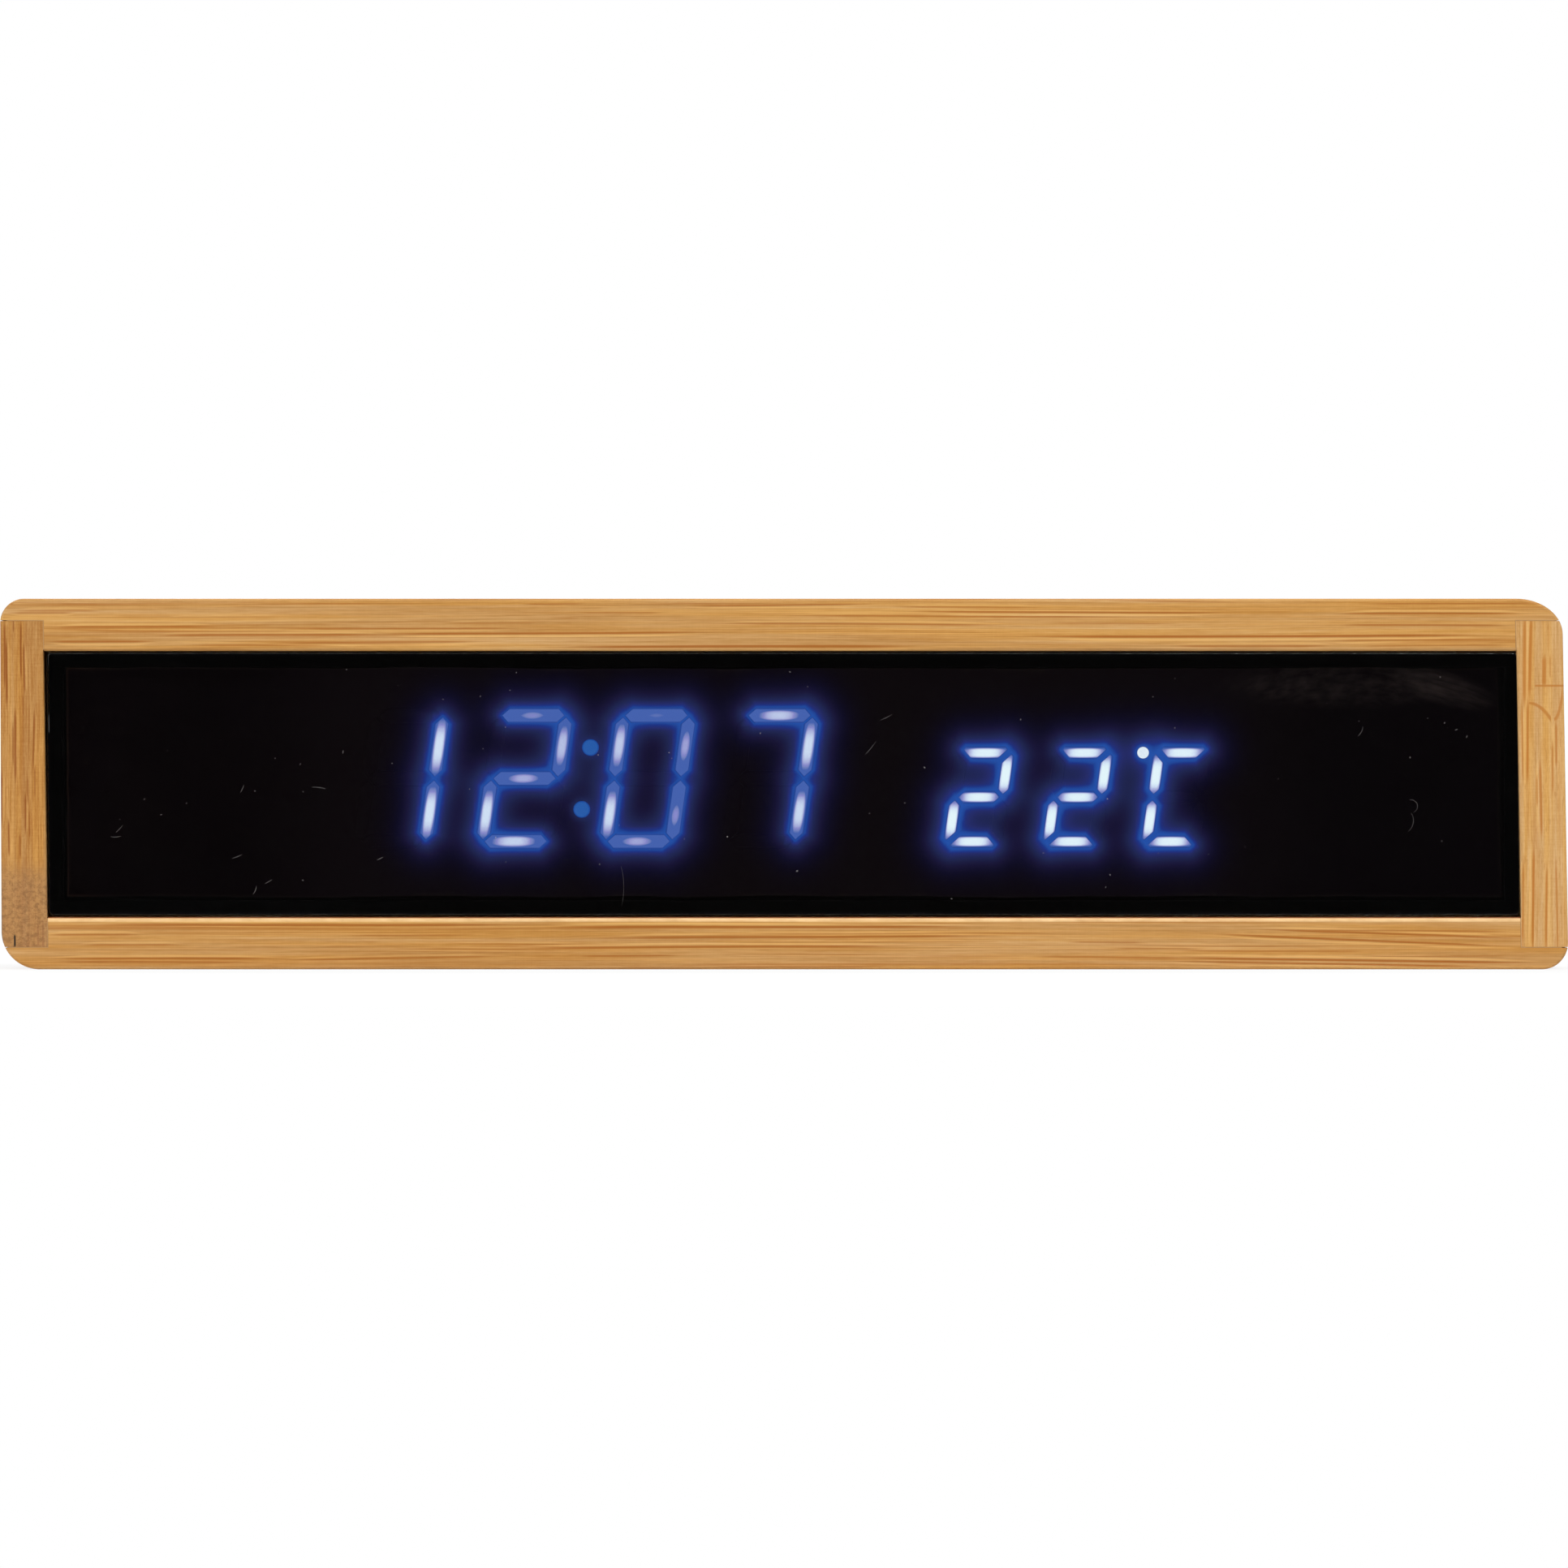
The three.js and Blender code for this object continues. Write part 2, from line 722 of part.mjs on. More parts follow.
const buttonPlaces = [1, 0, -1].map((step) => buttonX + step * buttonPitch);
const keyScrewPlaces = signs.map((side) => buttonX + side * (buttonPitch + keyScrewAside));
const pocketWidth = doorWidth + 2 * doorGap;
const pocketHeight = doorHeight + 2 * doorGap;
const wellSize = 2 * (cellRadius + cellClearance);
const cellZ = doorLedge + wellSize / 2 - pocketHeight / 2;
const hingeY = panelBack - barrelRadius;
const hingeZ = doorHeight / 2 - barrelRadius;
const keyBossEnd = keyBack + seatGap;

function slotRow(count, x) {
  return Array.from({ length: count }, (_, index) =>
    obround(slotWidth, slotLength, x + (index - (count - 1) / 2) * slotPitch, 0),
  );
}

// Stepped recess for the battery door: ledges stop the door, and the well behind takes the cell
function hatchCutters() {
  const pocketFloor = panelThickness - doorThickness - doorStopGap;
  const barrelFloor = hingeY - barrelRadius - doorGap - panelFront;
  const barrelHeight = 2 * barrelRadius + doorGap;
  const barrelZ = pocketHeight / 2 - barrelHeight / 2;
  const pinReach = pocketWidth + 2 * hingePinLength;
  const socket = rod(hingePinRadius + hingePinGap, -pinReach / 2, pinReach / 2).rotateZ(Math.PI / 2);
  const scoopFloor = panelThickness - scoopDepth;
  const wellHeight = panelThickness + collarDepth + 2 * cutOver;
  return [
    block(pocketWidth, panelThickness + cutOver, pocketHeight, hatchX, pocketFloor, 0),
    block(wellSize, wellHeight, wellSize, hatchX, -collarDepth - cutOver, cellZ),
    block(pocketWidth, panelThickness + cutOver, barrelHeight, hatchX, barrelFloor, barrelZ),
    socket.translate(hatchX, hingeY - panelFront, hingeZ),
    rod(scoopRadius, scoopFloor, panelThickness + cutOver, hatchX, -pocketHeight / 2, roundSides),
  ];
}

function backPanel() {
  const screwHoles = corners.map(([side, rise]) => disc(panelShank + screwGap, side * postX, rise * postZ));
  const buttonHoles = buttonPlaces.map((x) => disc(capRadius + fitGap, x, 0, roundSides));
  const inletHole = obround(inletWidth + 2 * inletClearance, inletHeight + 2 * inletClearance, inletX, 0);
  const holes = [
    ...screwHoles,
    ...buttonHoles,
    inletHole,
    ...slotRow(soundSlots, buzzerX),
    ...slotRow(ventSlots, ventX),
  ];
  const outline = roundedRectangle(fillWidth, fillHeight, panelCorner, smallSteps);
  const collarX = pocketWidth + 2 * collarWall;
  const collarZ = pocketHeight + 2 * collarWall;
  const collar = block(collarX, collarDepth + weld, collarZ, hatchX, -collarDepth, 0);
  const bosses = keyScrewPlaces.map((x) => rod(keyBossRadius, keyBossEnd - panelFront, weld, x, 0));
  const boreStart = keyBossEnd - panelFront - cutOver;
  const bores = keyScrewPlaces.map((x) => rod(boardShank + threadGap, boreStart, 0, x, 0));
  const body = join(piercedPlate(outline, panelThickness, holes), collar, ...bosses);
  return cut(body, ...bores, ...hatchCutters());
}

// Buttons and switches

function buttonCap() {
  const height = panelBack + capProud - capFoot;
  return turned([
    [0, 0],
    [flangeRadius, 0],
    [flangeRadius, flangeThickness],
    [capRadius, flangeThickness],
    [capRadius, height - capEase],
    [capRadius - capEase, height],
    [capRadius / 2, height - halfWayDish],
    [0, height - capDish],
  ]);
}

function switchPlunger() {
  return rod(plungerRadius, 0, plungerSink + plungerReach, 0, 0, roundSides);
}

function switchBody() {
  const bore = rod(
    plungerRadius + castGap,
    switchHeight - plungerSink - 2 * buttonTravel,
    switchHeight + cutOver,
    0,
    0,
    roundSides,
  );
  return cut(plate(rectangle(switchSize, switchSize), switchHeight, switchEase), bore);
}

// Key board, power inlet and backup cell

const keyLeft = inletX - keyMargin;
const keyRight = hatchX + pocketWidth / 2 + keyMargin / 2;

function keyBoard() {
  const centreX = (keyLeft + keyRight) / 2;
  const holes = keyScrewPlaces.map((x) => disc(boardShank + screwGap, x, 0));
  const outline = roundedRectangle(keyRight - keyLeft, keyHeight, boardCorner, smallSteps);
  const placed = outline.map((p) => new THREE.Vector2(p.x + centreX, p.y));
  return piercedPlate(placed, boardThickness, holes);
}

const inletLength = panelBack - inletSink - keyBack - seatGap;

function inletShell() {
  const bore = obround(inletWidth - 2 * inletWall, inletHeight - 2 * inletWall);
  return piercedPlate(obround(inletWidth, inletHeight), inletLength, [bore]);
}

function inletTongue() {
  const inside = 2 * (inletWall + castGap);
  const foot = plate(obround(inletWidth - inside, inletHeight - inside), tongueBase);
  const blade = block(tongueWidth, inletLength - tongueShort, tongueThickness, 0, 0, 0);
  return join(foot, blade);
}

const holderHeight = panelFront - collarDepth - fitGap - keyBack - seatGap;
const holderInside = cellRadius + fitGap;

// Round cell holder with a notch at the bottom for the leaf contact
function cellHolder() {
  const outside = holderInside + holderWall;
  const cup = turned([
    [0, 0],
    [outside, 0],
    [outside, holderHeight],
    [holderInside, holderHeight],
    [holderInside, holderFloor],
    [0, holderFloor],
  ], 2 * roundSides);
  const notchWidth = leafWidth + 2 * fitGap;
  const notchHeight = 2 * holderWall + contactThickness;
  const notchZ = -(holderInside + notchHeight / 2 - fitGap);
  const notch = block(notchWidth, holderHeight + 2 * cutOver, notchHeight, 0, -cutOver, notchZ);
  return cut(cup, notch);
}

const cellFront = keyBack + 3 * seatGap + holderFloor + contactThickness;

// Button cell: the wide can faces the door, the smaller cap faces the board
function coinCell() {
  return turned([
    [0, 0],
    [cellRadius - cellCapInset, 0],
    [cellRadius - cellCapInset, cellStep],
    [cellRadius, cellStep],
    [cellRadius, cellThickness - cellStep / 2],
    [cellRadius - cellStep / 2, cellThickness],
    [0, cellThickness],
  ], 2 * roundSides);
}

function capContact() {
  return plate(disc(contactRadius, 0, 0, roundSides), contactThickness);
}

// Leaf that stands on the board and bears on the rim of the cell
function leafContact() {
  const standing = cellFront + cellThickness / 2 - keyBack;
  const foot = leafFoot + contactThickness;
  const outside = [[0, -foot], [0, 0], [standing, 0], [standing, -contactThickness]];
  const inside = [[contactThickness, -contactThickness], [contactThickness, -foot]];
  return bar([...outside, ...inside].map(([y, z]) => new THREE.Vector2(y, z)), leafWidth);
}

// Battery door: a plate with a round barrel along its top edge, two hinge pins and two ribs over the cell.
// Its own origin is on the hinge axis.
function batteryDoor() {
  const inner = barrelRadius - doorThickness;
  const foot = barrelRadius - doorHeight;
  const barrelEnd = 2 * Math.PI - Math.acos(inner / barrelRadius);
  const outline = [
    ...arc(0, 0, barrelRadius, 0, barrelEnd, 2 * cornerSteps),
    new THREE.Vector2(inner, foot),
    new THREE.Vector2(barrelRadius, foot),
  ];
  const pinReach = doorWidth + 2 * hingePinLength;
  const pin = rod(hingePinRadius, -pinReach / 2, pinReach / 2).rotateZ(Math.PI / 2);
  const ribs = signs.map((side) =>
    block(
      doorRibThickness,
      doorRibHeight + weld,
      cellRadius,
      (side * doorRibSpacing) / 2,
      inner - doorRibHeight,
      cellZ - hingeZ,
    ),
  );
  return join(bar(outline, doorWidth), pin, ...ribs);
}

// Pan-head screw: the head's underside is at y = 0 and the shank points to the front
function screw(shank, head, headHeight, length) {
  const body = turned([
    [0, -length],
    [shank, screwTip - length],
    [shank, 0],
    [head, 0],
    [head, headHeight / 2],
    [head * crownShare, headHeight * crownRise],
    [0, headHeight],
  ], holeSides);
  const arm = head * crossReach;
  const across = block(arm, crossDepth + cutOver, crossWidth, 0, headHeight - crossDepth, 0);
  const upright = block(crossWidth, crossDepth + cutOver, arm, 0, headHeight - crossDepth, 0);
  return cut(body, across, upright);
}

// Finishes
function finish(color, roughness, metalness = 0) {
  return new THREE.MeshStandardMaterial({ color, roughness, metalness, flatShading: true });
}

const bamboo = finish(0xc99657, 0.55);
const smokedAcrylic = finish(0x0b0909, 0.08);
const foam = finish(0x0a0a0a, 0.95);
const blackPlastic = finish(0x101010, 0.5);
const film = finish(0x0c090a, 0.6);
const resin = finish(0x2f4f9f, 0.3);
const circuit = finish(0x1d4a2c, 0.5);
const chipPlastic = finish(0x17171a, 0.6);
const tinPlate = finish(0xb9bcc0, 0.35, 1);
const blackSteel = finish(0x232326, 0.4, 0.9);
const ribbonGrey = finish(0x9a9da1, 0.6);
const paleNylon = finish(0xe6e0d2, 0.55);
const thermistorCoat = finish(0x1a1f38, 0.4);

// Assembly: everything inside the case hangs in a group centred on the mouth of the sleeve

const clock = new THREE.Group();
const bay = new THREE.Group();
bay.position.z = halfHeight;
clock.add(bay);

function add(name, geometry, material, x = 0, y = 0, z = 0) {
  const mesh = new THREE.Mesh(geometry, material);
  mesh.name = name;
  mesh.position.set(x, y, z);
  bay.add(mesh);
  return mesh;
}

add("top_board", rail(1), bamboo);
add("bottom_board", rail(-1), bamboo);
add("left_board", stile(-1), bamboo);
add("right_board", stile(1), bamboo);

const cornerNames = ["lower_left", "upper_left", "lower_right", "upper_right"];
corners.forEach(([side, rise], index) => {
  const name = cornerNames[index];
  const panelScrew = screw(panelShank, panelHead, panelHeadHeight, panelScrewLength);
  const boardScrew = screw(boardShank, boardHead, boardHeadHeight, boardThickness + boardScrewBite);
  add(`corner_post_${name}`, post(), bamboo, side * postX, floorBack + seatGap, rise * postZ);
  add(`panel_screw_${name}`, panelScrew, blackSteel, side * postX, panelBack + seatGap, rise * postZ);
  add(`board_screw_${name}`, boardScrew, tinPlate, side * mainScrewX, mainBack + seatGap, rise * mainScrewZ);
});

add("front_window", windowPane(), smokedAcrylic, 0, windowFront, 0);
const tapeY = windowBack + seatGap;
const tapeX = fillWidth / 2 - rimWidth / 2;
const tapeZ = fillHeight / 2 - rimWidth / 2;
add("window_tape_top", plate(rectangle(longTape, tapeWidth), tapeDepth), foam, 0, tapeY, tapeZ);
add("window_tape_bottom", plate(rectangle(longTape, tapeWidth), tapeDepth), foam, 0, tapeY, -tapeZ);
add("window_tape_left", plate(rectangle(tapeWidth, shortTape), tapeDepth), foam, -tapeX, tapeY, 0);
add("window_tape_right", plate(rectangle(tapeWidth, shortTape), tapeDepth), foam, tapeX, tapeY, 0);

add("display_tray", displayTray(), blackPlastic, 0, trayFront, 0);
add("face_film", faceFilm(), film, 0, filmFront, 0);
add("display_housing", displayHousing(), blackPlastic, 0, floorFront, 0);
add("stroke_resin", strokeResin(), resin, 0, filmFront, 0);
add("display_base", displayBase(), circuit, 0, baseFront, 0);

const mainSeat = mainBack + seatGap;
add("main_board", mainBoard(), circuit, 0, mainFront, 0);
add("microcontroller", microcontroller(), chipPlastic, chipX, mainSeat, 0);
add("crystal", crystal(), tinPlate, crystalX, mainSeat, 0);
add("buzzer", buzzer(), chipPlastic, buzzerX, mainSeat, 0);
add("capacitor", capacitor(), tinPlate, capacitorX, mainSeat, 0);
add("thermistor", thermistor(), thermistorCoat, ventX, mainSeat, 0);
add("main_plug", ribbonPlug(), paleNylon, ribbonStartX, mainSeat, 0);
add("key_plug", ribbonPlug(), paleNylon, ribbonEndX, keyFront - seatGap, 0).rotation.x = Math.PI;
add("ribbon_cable", ribbonCable(), ribbonGrey);

add("back_panel", backPanel(), blackPlastic, 0, panelFront, 0);
add("key_board", keyBoard(), circuit, 0, keyFront, 0);
keyScrewPlaces.forEach((x, index) => {
  const name = `key_screw_${["right", "left"][index]}`;
  const keyScrew = screw(boardShank, boardHead, boardHeadHeight, boardThickness + boardScrewBite);
  add(name, keyScrew, tinPlate, x, keyFront - seatGap, 0).rotation.x = Math.PI;
});

const buttonNames = ["set", "up", "down"];
buttonPlaces.forEach((x, index) => {
  const name = buttonNames[index];
  add(`${name}_button`, buttonCap(), blackPlastic, x, capFoot, 0);
  add(`${name}_plunger`, switchPlunger(), chipPlastic, x, switchTop - plungerSink, 0);
  add(`${name}_switch`, switchBody(), tinPlate, x, switchTop - switchHeight, 0);
});

add("inlet_shell", inletShell(), tinPlate, inletX, keyBack + seatGap, 0);
add("inlet_tongue", inletTongue(), chipPlastic, inletX, keyBack + seatGap, 0);

add("cell_holder", cellHolder(), chipPlastic, hatchX, keyBack + seatGap, cellZ);
add("cap_contact", capContact(), tinPlate, hatchX, keyBack + 2 * seatGap + holderFloor, cellZ);
add("leaf_contact", leafContact(), tinPlate, hatchX, keyBack + seatGap, cellZ - cellRadius - castGap);
add("coin_cell", coinCell(), tinPlate, hatchX, cellFront, cellZ);
add("battery_door", batteryDoor(), blackPlastic, hatchX, hingeY, hingeZ);

export default clock;
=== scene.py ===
"""Looks of the long bamboo desk clock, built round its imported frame.

Shapes are written in millimetres about the middle of the case: +X right, +Y to the back, +Z up.
"""

import math

import bmesh
import bpy
import numpy as np
from mathutils import Matrix, Vector, geometry, noise


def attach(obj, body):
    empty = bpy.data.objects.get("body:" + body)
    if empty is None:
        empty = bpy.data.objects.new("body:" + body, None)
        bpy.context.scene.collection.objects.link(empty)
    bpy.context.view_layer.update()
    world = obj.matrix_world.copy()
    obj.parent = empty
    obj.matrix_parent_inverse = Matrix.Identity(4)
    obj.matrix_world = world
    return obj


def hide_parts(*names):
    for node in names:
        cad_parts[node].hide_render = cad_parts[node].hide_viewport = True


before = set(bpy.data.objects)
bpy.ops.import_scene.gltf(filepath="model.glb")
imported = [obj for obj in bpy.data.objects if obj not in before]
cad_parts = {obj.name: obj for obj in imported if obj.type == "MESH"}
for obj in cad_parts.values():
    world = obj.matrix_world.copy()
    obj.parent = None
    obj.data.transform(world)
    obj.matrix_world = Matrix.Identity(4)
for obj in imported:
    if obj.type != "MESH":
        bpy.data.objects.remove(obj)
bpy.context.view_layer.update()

MM = 0.001

# Bamboo case
CASE_WIDTH = 225.0
CASE_HEIGHT = 53.2
CASE_DEPTH = 40.0
RAIL = 7.5
STILE = 6.7
LAP = 3.1
TOP_LEFT = (3.4, 3.5)
TOP_RIGHT = (6.6, 5.1)
LOW_LEFT = (5.5, 5.4)
LOW_RIGHT = (3.8, 3.9)
OUTER_EASE = 0.4
INNER_EASE = 0.5
JOINT_EASE = 0.025
EASE_RUN = 0.06
GLUE = 0.1

# How far the real case is out of square: shifts along X, and leans to the left for each millimetre of height
RIGHT_SHIFT = -0.36
RIGHT_LEAN = 0.0172
LEFT_SHIFT = -0.22
LEFT_LEAN = 0.0145
LEFT_END_SHIFT = 0.1
LEFT_END_LEAN = 0.005
WINDOW_SHIFT = -0.12
WINDOW_LEAN = 0.010

# Where the side boards begin and where their outer halves begin, from the middle of the case
SIDE_START = 100
SIDE_MIDDLE = 107

# Window, film and tray
WINDOW_FRONT = -19.4
WINDOW_BACK = -17.4
WINDOW_WIDTH = 211.1
WINDOW_HEIGHT = 37.7
WINDOW_CORNER = 0.6
WINDOW_EASE = 0.22
FILM_FRONT = -15.65
FILM_BACK = -15.35

# Display strokes
SLANT = math.tan(math.radians(8))
TIME_HEIGHT = 20.3
TIME_WIDTH = 11.7
TIME_STROKE = 2.2
TIME_GAP = 0.2
TIME_PITCH = 17.7
TIME_X = -28.45
TIME_Z = 0.8
COLON_RADIUS = 1.22
COLON_SPACING = 8.9
WARMTH_HEIGHT = 14.6
WARMTH_WIDTH = 8.6
WARMTH_STROKE = 1.85
WARMTH_CORNER_GAP = 0.62
WARMTH_MIDDLE_GAP = 0.36
WARMTH_PITCH = 14.2
WARMTH_X = 42.2
WARMTH_Z = -1.9
DEGREE_RADIUS = 0.9
DEGREE_ASIDE = 5.7
DEGREE_RISE = 6.4
CAST_GAP = 0.1
SLAB_FRONT = -10.2
SLAB_BACK = -8.05
MODULE_MARGIN = 3.2
MODULE_WALL = 1.2

# Rear
PANEL_BACK = 18.4
POST_X = 101.2
POST_Z = 14.5
SCREW_SEAT = PANEL_BACK + 0.05
BUTTON_X = -4.0
BUTTON_PITCH = 13.0
CAP_FOOT = 15.25
CAP_RADIUS = 3.5
CAP_TOP = 19.3
FLANGE_RADIUS = 4.6
INLET_X = -46.0
INLET_FRONT = 10.45
INLET_BACK = 17.8
HATCH_X = 48.0
DOOR_FOOT = -12.5
KEYS = ("set", "up", "down")
PLACES = [f"{rise}_{side}" for rise in ("lower", "upper") for side in ("left", "right")]

HALF_WIDTH = CASE_WIDTH / 2
HALF_HEIGHT = CASE_HEIGHT / 2
HALF_DEPTH = CASE_DEPTH / 2
MOUTH_X = HALF_WIDTH - STILE
MOUTH_Z = HALF_HEIGHT - RAIL
LAP_Z = HALF_HEIGHT - LAP
TO_METRES = Matrix.Scale(MM, 4)
TO_FRAME = Matrix.Translation((0, 0, HALF_HEIGHT * MM)) @ TO_METRES


def srgb(red, green, blue):
    """A colour read as 0 to 255 values, as the shader's linear colour."""
    values = [v / 255 for v in (red, green, blue)]
    return tuple(v / 12.92 if v <= 0.04045 else ((v + 0.055) / 1.055) ** 2.4 for v in values) + (1.0,)


# Node trees


class Nodes:
    """Short calls for the nodes that the finishes are made of."""

    def __init__(self, tree):
        self.tree = tree

    def add(self, kind, values=None, **settings):
        made = self.tree.nodes.new(kind)
        for name, value in settings.items():
            setattr(made, name, value)
        for key, value in (values or {}).items():
            self.put(made.inputs[key], value)
        return made

    def put(self, socket, value):
        if isinstance(value, bpy.types.NodeSocket):
            self.tree.links.new(value, socket)
        else:
            socket.default_value = value

    def maths(self, operation, *terms, clamp=False):
        made = self.add("ShaderNodeMath", operation=operation, use_clamp=clamp)
        for socket, term in zip(made.inputs, terms):
            self.put(socket, term)
        return made.outputs[0]

    def times(self, first, second, **options):
        return self.maths("MULTIPLY", first, second, **options)

    def plus(self, first, second):
        return self.maths("ADD", first, second)

    def minus(self, first, second, **options):
        return self.maths("SUBTRACT", first, second, **options)

    def vector(self, operation, first, second):
        made = self.add("ShaderNodeVectorMath", {0: first, 1: second}, operation=operation)
        return made.outputs["Vector"]

    def parts(self, vector):
        return self.add("ShaderNodeSeparateXYZ", {"Vector": vector}).outputs

    def joined(self, x, y, z):
        return self.add("ShaderNodeCombineXYZ", {"X": x, "Y": y, "Z": z}).outputs["Vector"]

    def noise(self, vector, scale=1.0, detail=2.0, roughness=0.5):
        values = {"Vector": vector, "Scale": scale, "Detail": detail, "Roughness": roughness}
        return self.add("ShaderNodeTexNoise", values).outputs["Fac"]

    def smooth(self, value, low, high):
        values = {"Value": value, "From Min": low, "From Max": high}
        return self.add("ShaderNodeMapRange", values, interpolation_type="SMOOTHSTEP").outputs["Result"]

    def spread(self, value, low, high):
        """A value from 0 to 1 spread over another range."""
        values = {"Value": value, "To Min": low, "To Max": high}
        return self.add("ShaderNodeMapRange", values).outputs["Result"]

    def mix(self, factor, first, second, blend="MIX"):
        made = self.add("ShaderNodeMix", data_type="RGBA", blend_type=blend)
        for index, value in ((0, factor), (6, first), (7, second)):
            self.put(made.inputs[index], value)
        return made.outputs[2]

    def ramp(self, factor, stops):
        made = self.add("ShaderNodeValToRGB", {"Fac": factor})
        elements = made.color_ramp.elements
        while len(elements) < len(stops):
            elements.new(1.0)
        for element, (position, colour) in zip(elements, stops):
            element.position = position
            element.color = colour
        return made.outputs["Color"]

    def attribute(self, name):
        return self.add("ShaderNodeAttribute", attribute_name=name).outputs["Fac"]

    def group(self, tree, **values):
        made = self.add("ShaderNodeGroup", node_tree=tree)
        for name, value in values.items():
            self.put(made.inputs[name.replace("_", " ").capitalize()], value)
        return made.outputs

    def bump(self, height, strength, distance):
        values = {"Height": height, "Strength": strength, "Distance": distance * MM}
        return self.add("ShaderNodeBump", values).outputs["Normal"]

    def place(self):
        """The piece's own coordinates in millimetres about the middle of the case."""
        own = self.add("ShaderNodeTexCoord").outputs["Object"]
        values = {"Vector": own, "Scale": (1 / MM,) * 3, "Location": (0, 0, -HALF_HEIGHT)}
        return self.add("ShaderNodeMapping", values).outputs["Vector"]


def shader_group(name, inputs, outputs):
    """A node group with named sockets. Returns its short calls, its inputs and its output node."""
    tree = bpy.data.node_groups.new(name, "ShaderNodeTree")
    kinds = {"float": "NodeSocketFloat", "vector": "NodeSocketVector", "colour": "NodeSocketColor"}
    for word, kind in inputs.items():
        tree.interface.new_socket(word, in_out="INPUT", socket_type=kinds[kind])
    for word, kind in outputs.items():
        tree.interface.new_socket(word, in_out="OUTPUT", socket_type=kinds[kind])
    n = Nodes(tree)
    return n, n.add("NodeGroupInput").outputs, n.add("NodeGroupOutput").inputs


def finish(name, **values):
    """A material with a Principled shader. Its plain values sit on the shader's own sockets."""
    material = bpy.data.materials.new(name)
    material.use_nodes = True
    n = Nodes(material.node_tree)
    shader = material.node_tree.nodes["Principled BSDF"]
    for word, value in values.items():
        shader.inputs[word.replace("_", " ").title().replace("Ior", "IOR")].default_value = value
    return material, n, shader.inputs


# Effects that several finishes share


def bamboo_grain():
    """Straight long fibres, thin amber lines with a pale edge, short flecks and dotted end grain."""
    n, given, out = shader_group(
        "bamboo grain",
        {
            "Fibres": "vector",
            "Stretch": "float",
            "Streaks": "float",
            "Marks": "colour",
            "Ink": "colour",
            "Tone": "float",
            "End grain": "float",
        },
        {"Color": "colour", "Roughness": "float", "Height": "float"},
    )
    fibres = given["Fibres"]

    def drawn_out(along, deep, across, detail):
        pull = n.joined(n.times(given["Stretch"], along), deep, across)
        return n.noise(n.vector("MULTIPLY", fibres, pull), 1.0, detail, 0.55)

    def band(value, middle, width):
        return n.smooth(n.maths("ABSOLUTE", n.minus(value, middle)), width, width * 0.25)

    field = drawn_out(0.006, 0.8, 1.2, 1.0)
    gate = n.smooth(drawn_out(0.020, 0.5, 0.7, 1.0), 0.48, 0.60)
    reach = n.times(gate, given["Streaks"])
    marks = n.add("ShaderNodeSeparateColor", {"Color": given["Marks"]}).outputs
    dark = n.maths("MAXIMUM", n.times(band(field, 0.5, 0.045), reach), marks["Red"])
    pale = n.maths("MAXIMUM", n.times(band(field, 0.565, 0.045), reach), marks["Green"])
    fine = drawn_out(0.035, 3.0, 4.4, 2.5)
    short = drawn_out(0.40, 4.0, 5.5, 1.0)
    broad = n.noise(n.vector("MULTIPLY", fibres, (0.012, 0.10, 0.30)), 1.0, 2.0)
    tone = n.plus(n.times(fine, 0.46), n.times(broad, 0.30))
    tone = n.plus(tone, n.maths("MULTIPLY_ADD", short, 0.14, 0.05))
    tone = n.plus(tone, given["Tone"])
    colour = n.ramp(
        tone,
        (
            (0.28, srgb(172, 112, 46)),
            (0.42, srgb(192, 138, 70)),
            (0.52, srgb(206, 154, 86)),
            (0.66, srgb(218, 172, 108)),
            (0.80, srgb(228, 188, 130)),
        ),
    )
    hue = n.smooth(n.noise(n.vector("MULTIPLY", fibres, (0.018, 0.12, 0.75)), 1.0, 3.0, 0.6), 0.34, 0.66)
    warm = n.mix(1.0, colour, (1.0, 0.965, 0.80, 1), "MULTIPLY")
    beige = n.mix(1.0, colour, (0.95, 1.0, 1.22, 1), "MULTIPLY")
    colour = n.mix(hue, warm, beige)
    flecks = n.smooth(drawn_out(0.11, 2.2, 3.4, 1.0), 0.64, 0.74)
    colour = n.mix(n.times(flecks, 0.35), colour, srgb(176, 116, 50))
    colour = n.mix(n.times(pale, 0.50), colour, srgb(240, 192, 116))
    colour = n.mix(n.times(dark, 0.95), colour, given["Ink"])
    dots = n.add(
        "ShaderNodeTexVoronoi", {"Vector": n.vector("MULTIPLY", fibres, (0.2, 1.0, 1.0)), "Scale": 1.5}
    ).outputs["Distance"]
    dotted = n.mix(n.smooth(dots, 0.45, 0.15), srgb(186, 134, 74), srgb(126, 78, 34))
    n.put(out["Color"], n.mix(given["End grain"], colour, dotted))
    n.put(out["Roughness"], n.plus(n.spread(fine, 0.42, 0.62), n.times(dark, 0.08)))
    n.put(out["Height"], n.maths("MULTIPLY_ADD", short, 0.2, n.times(fine, 0.6)))
    return n.tree


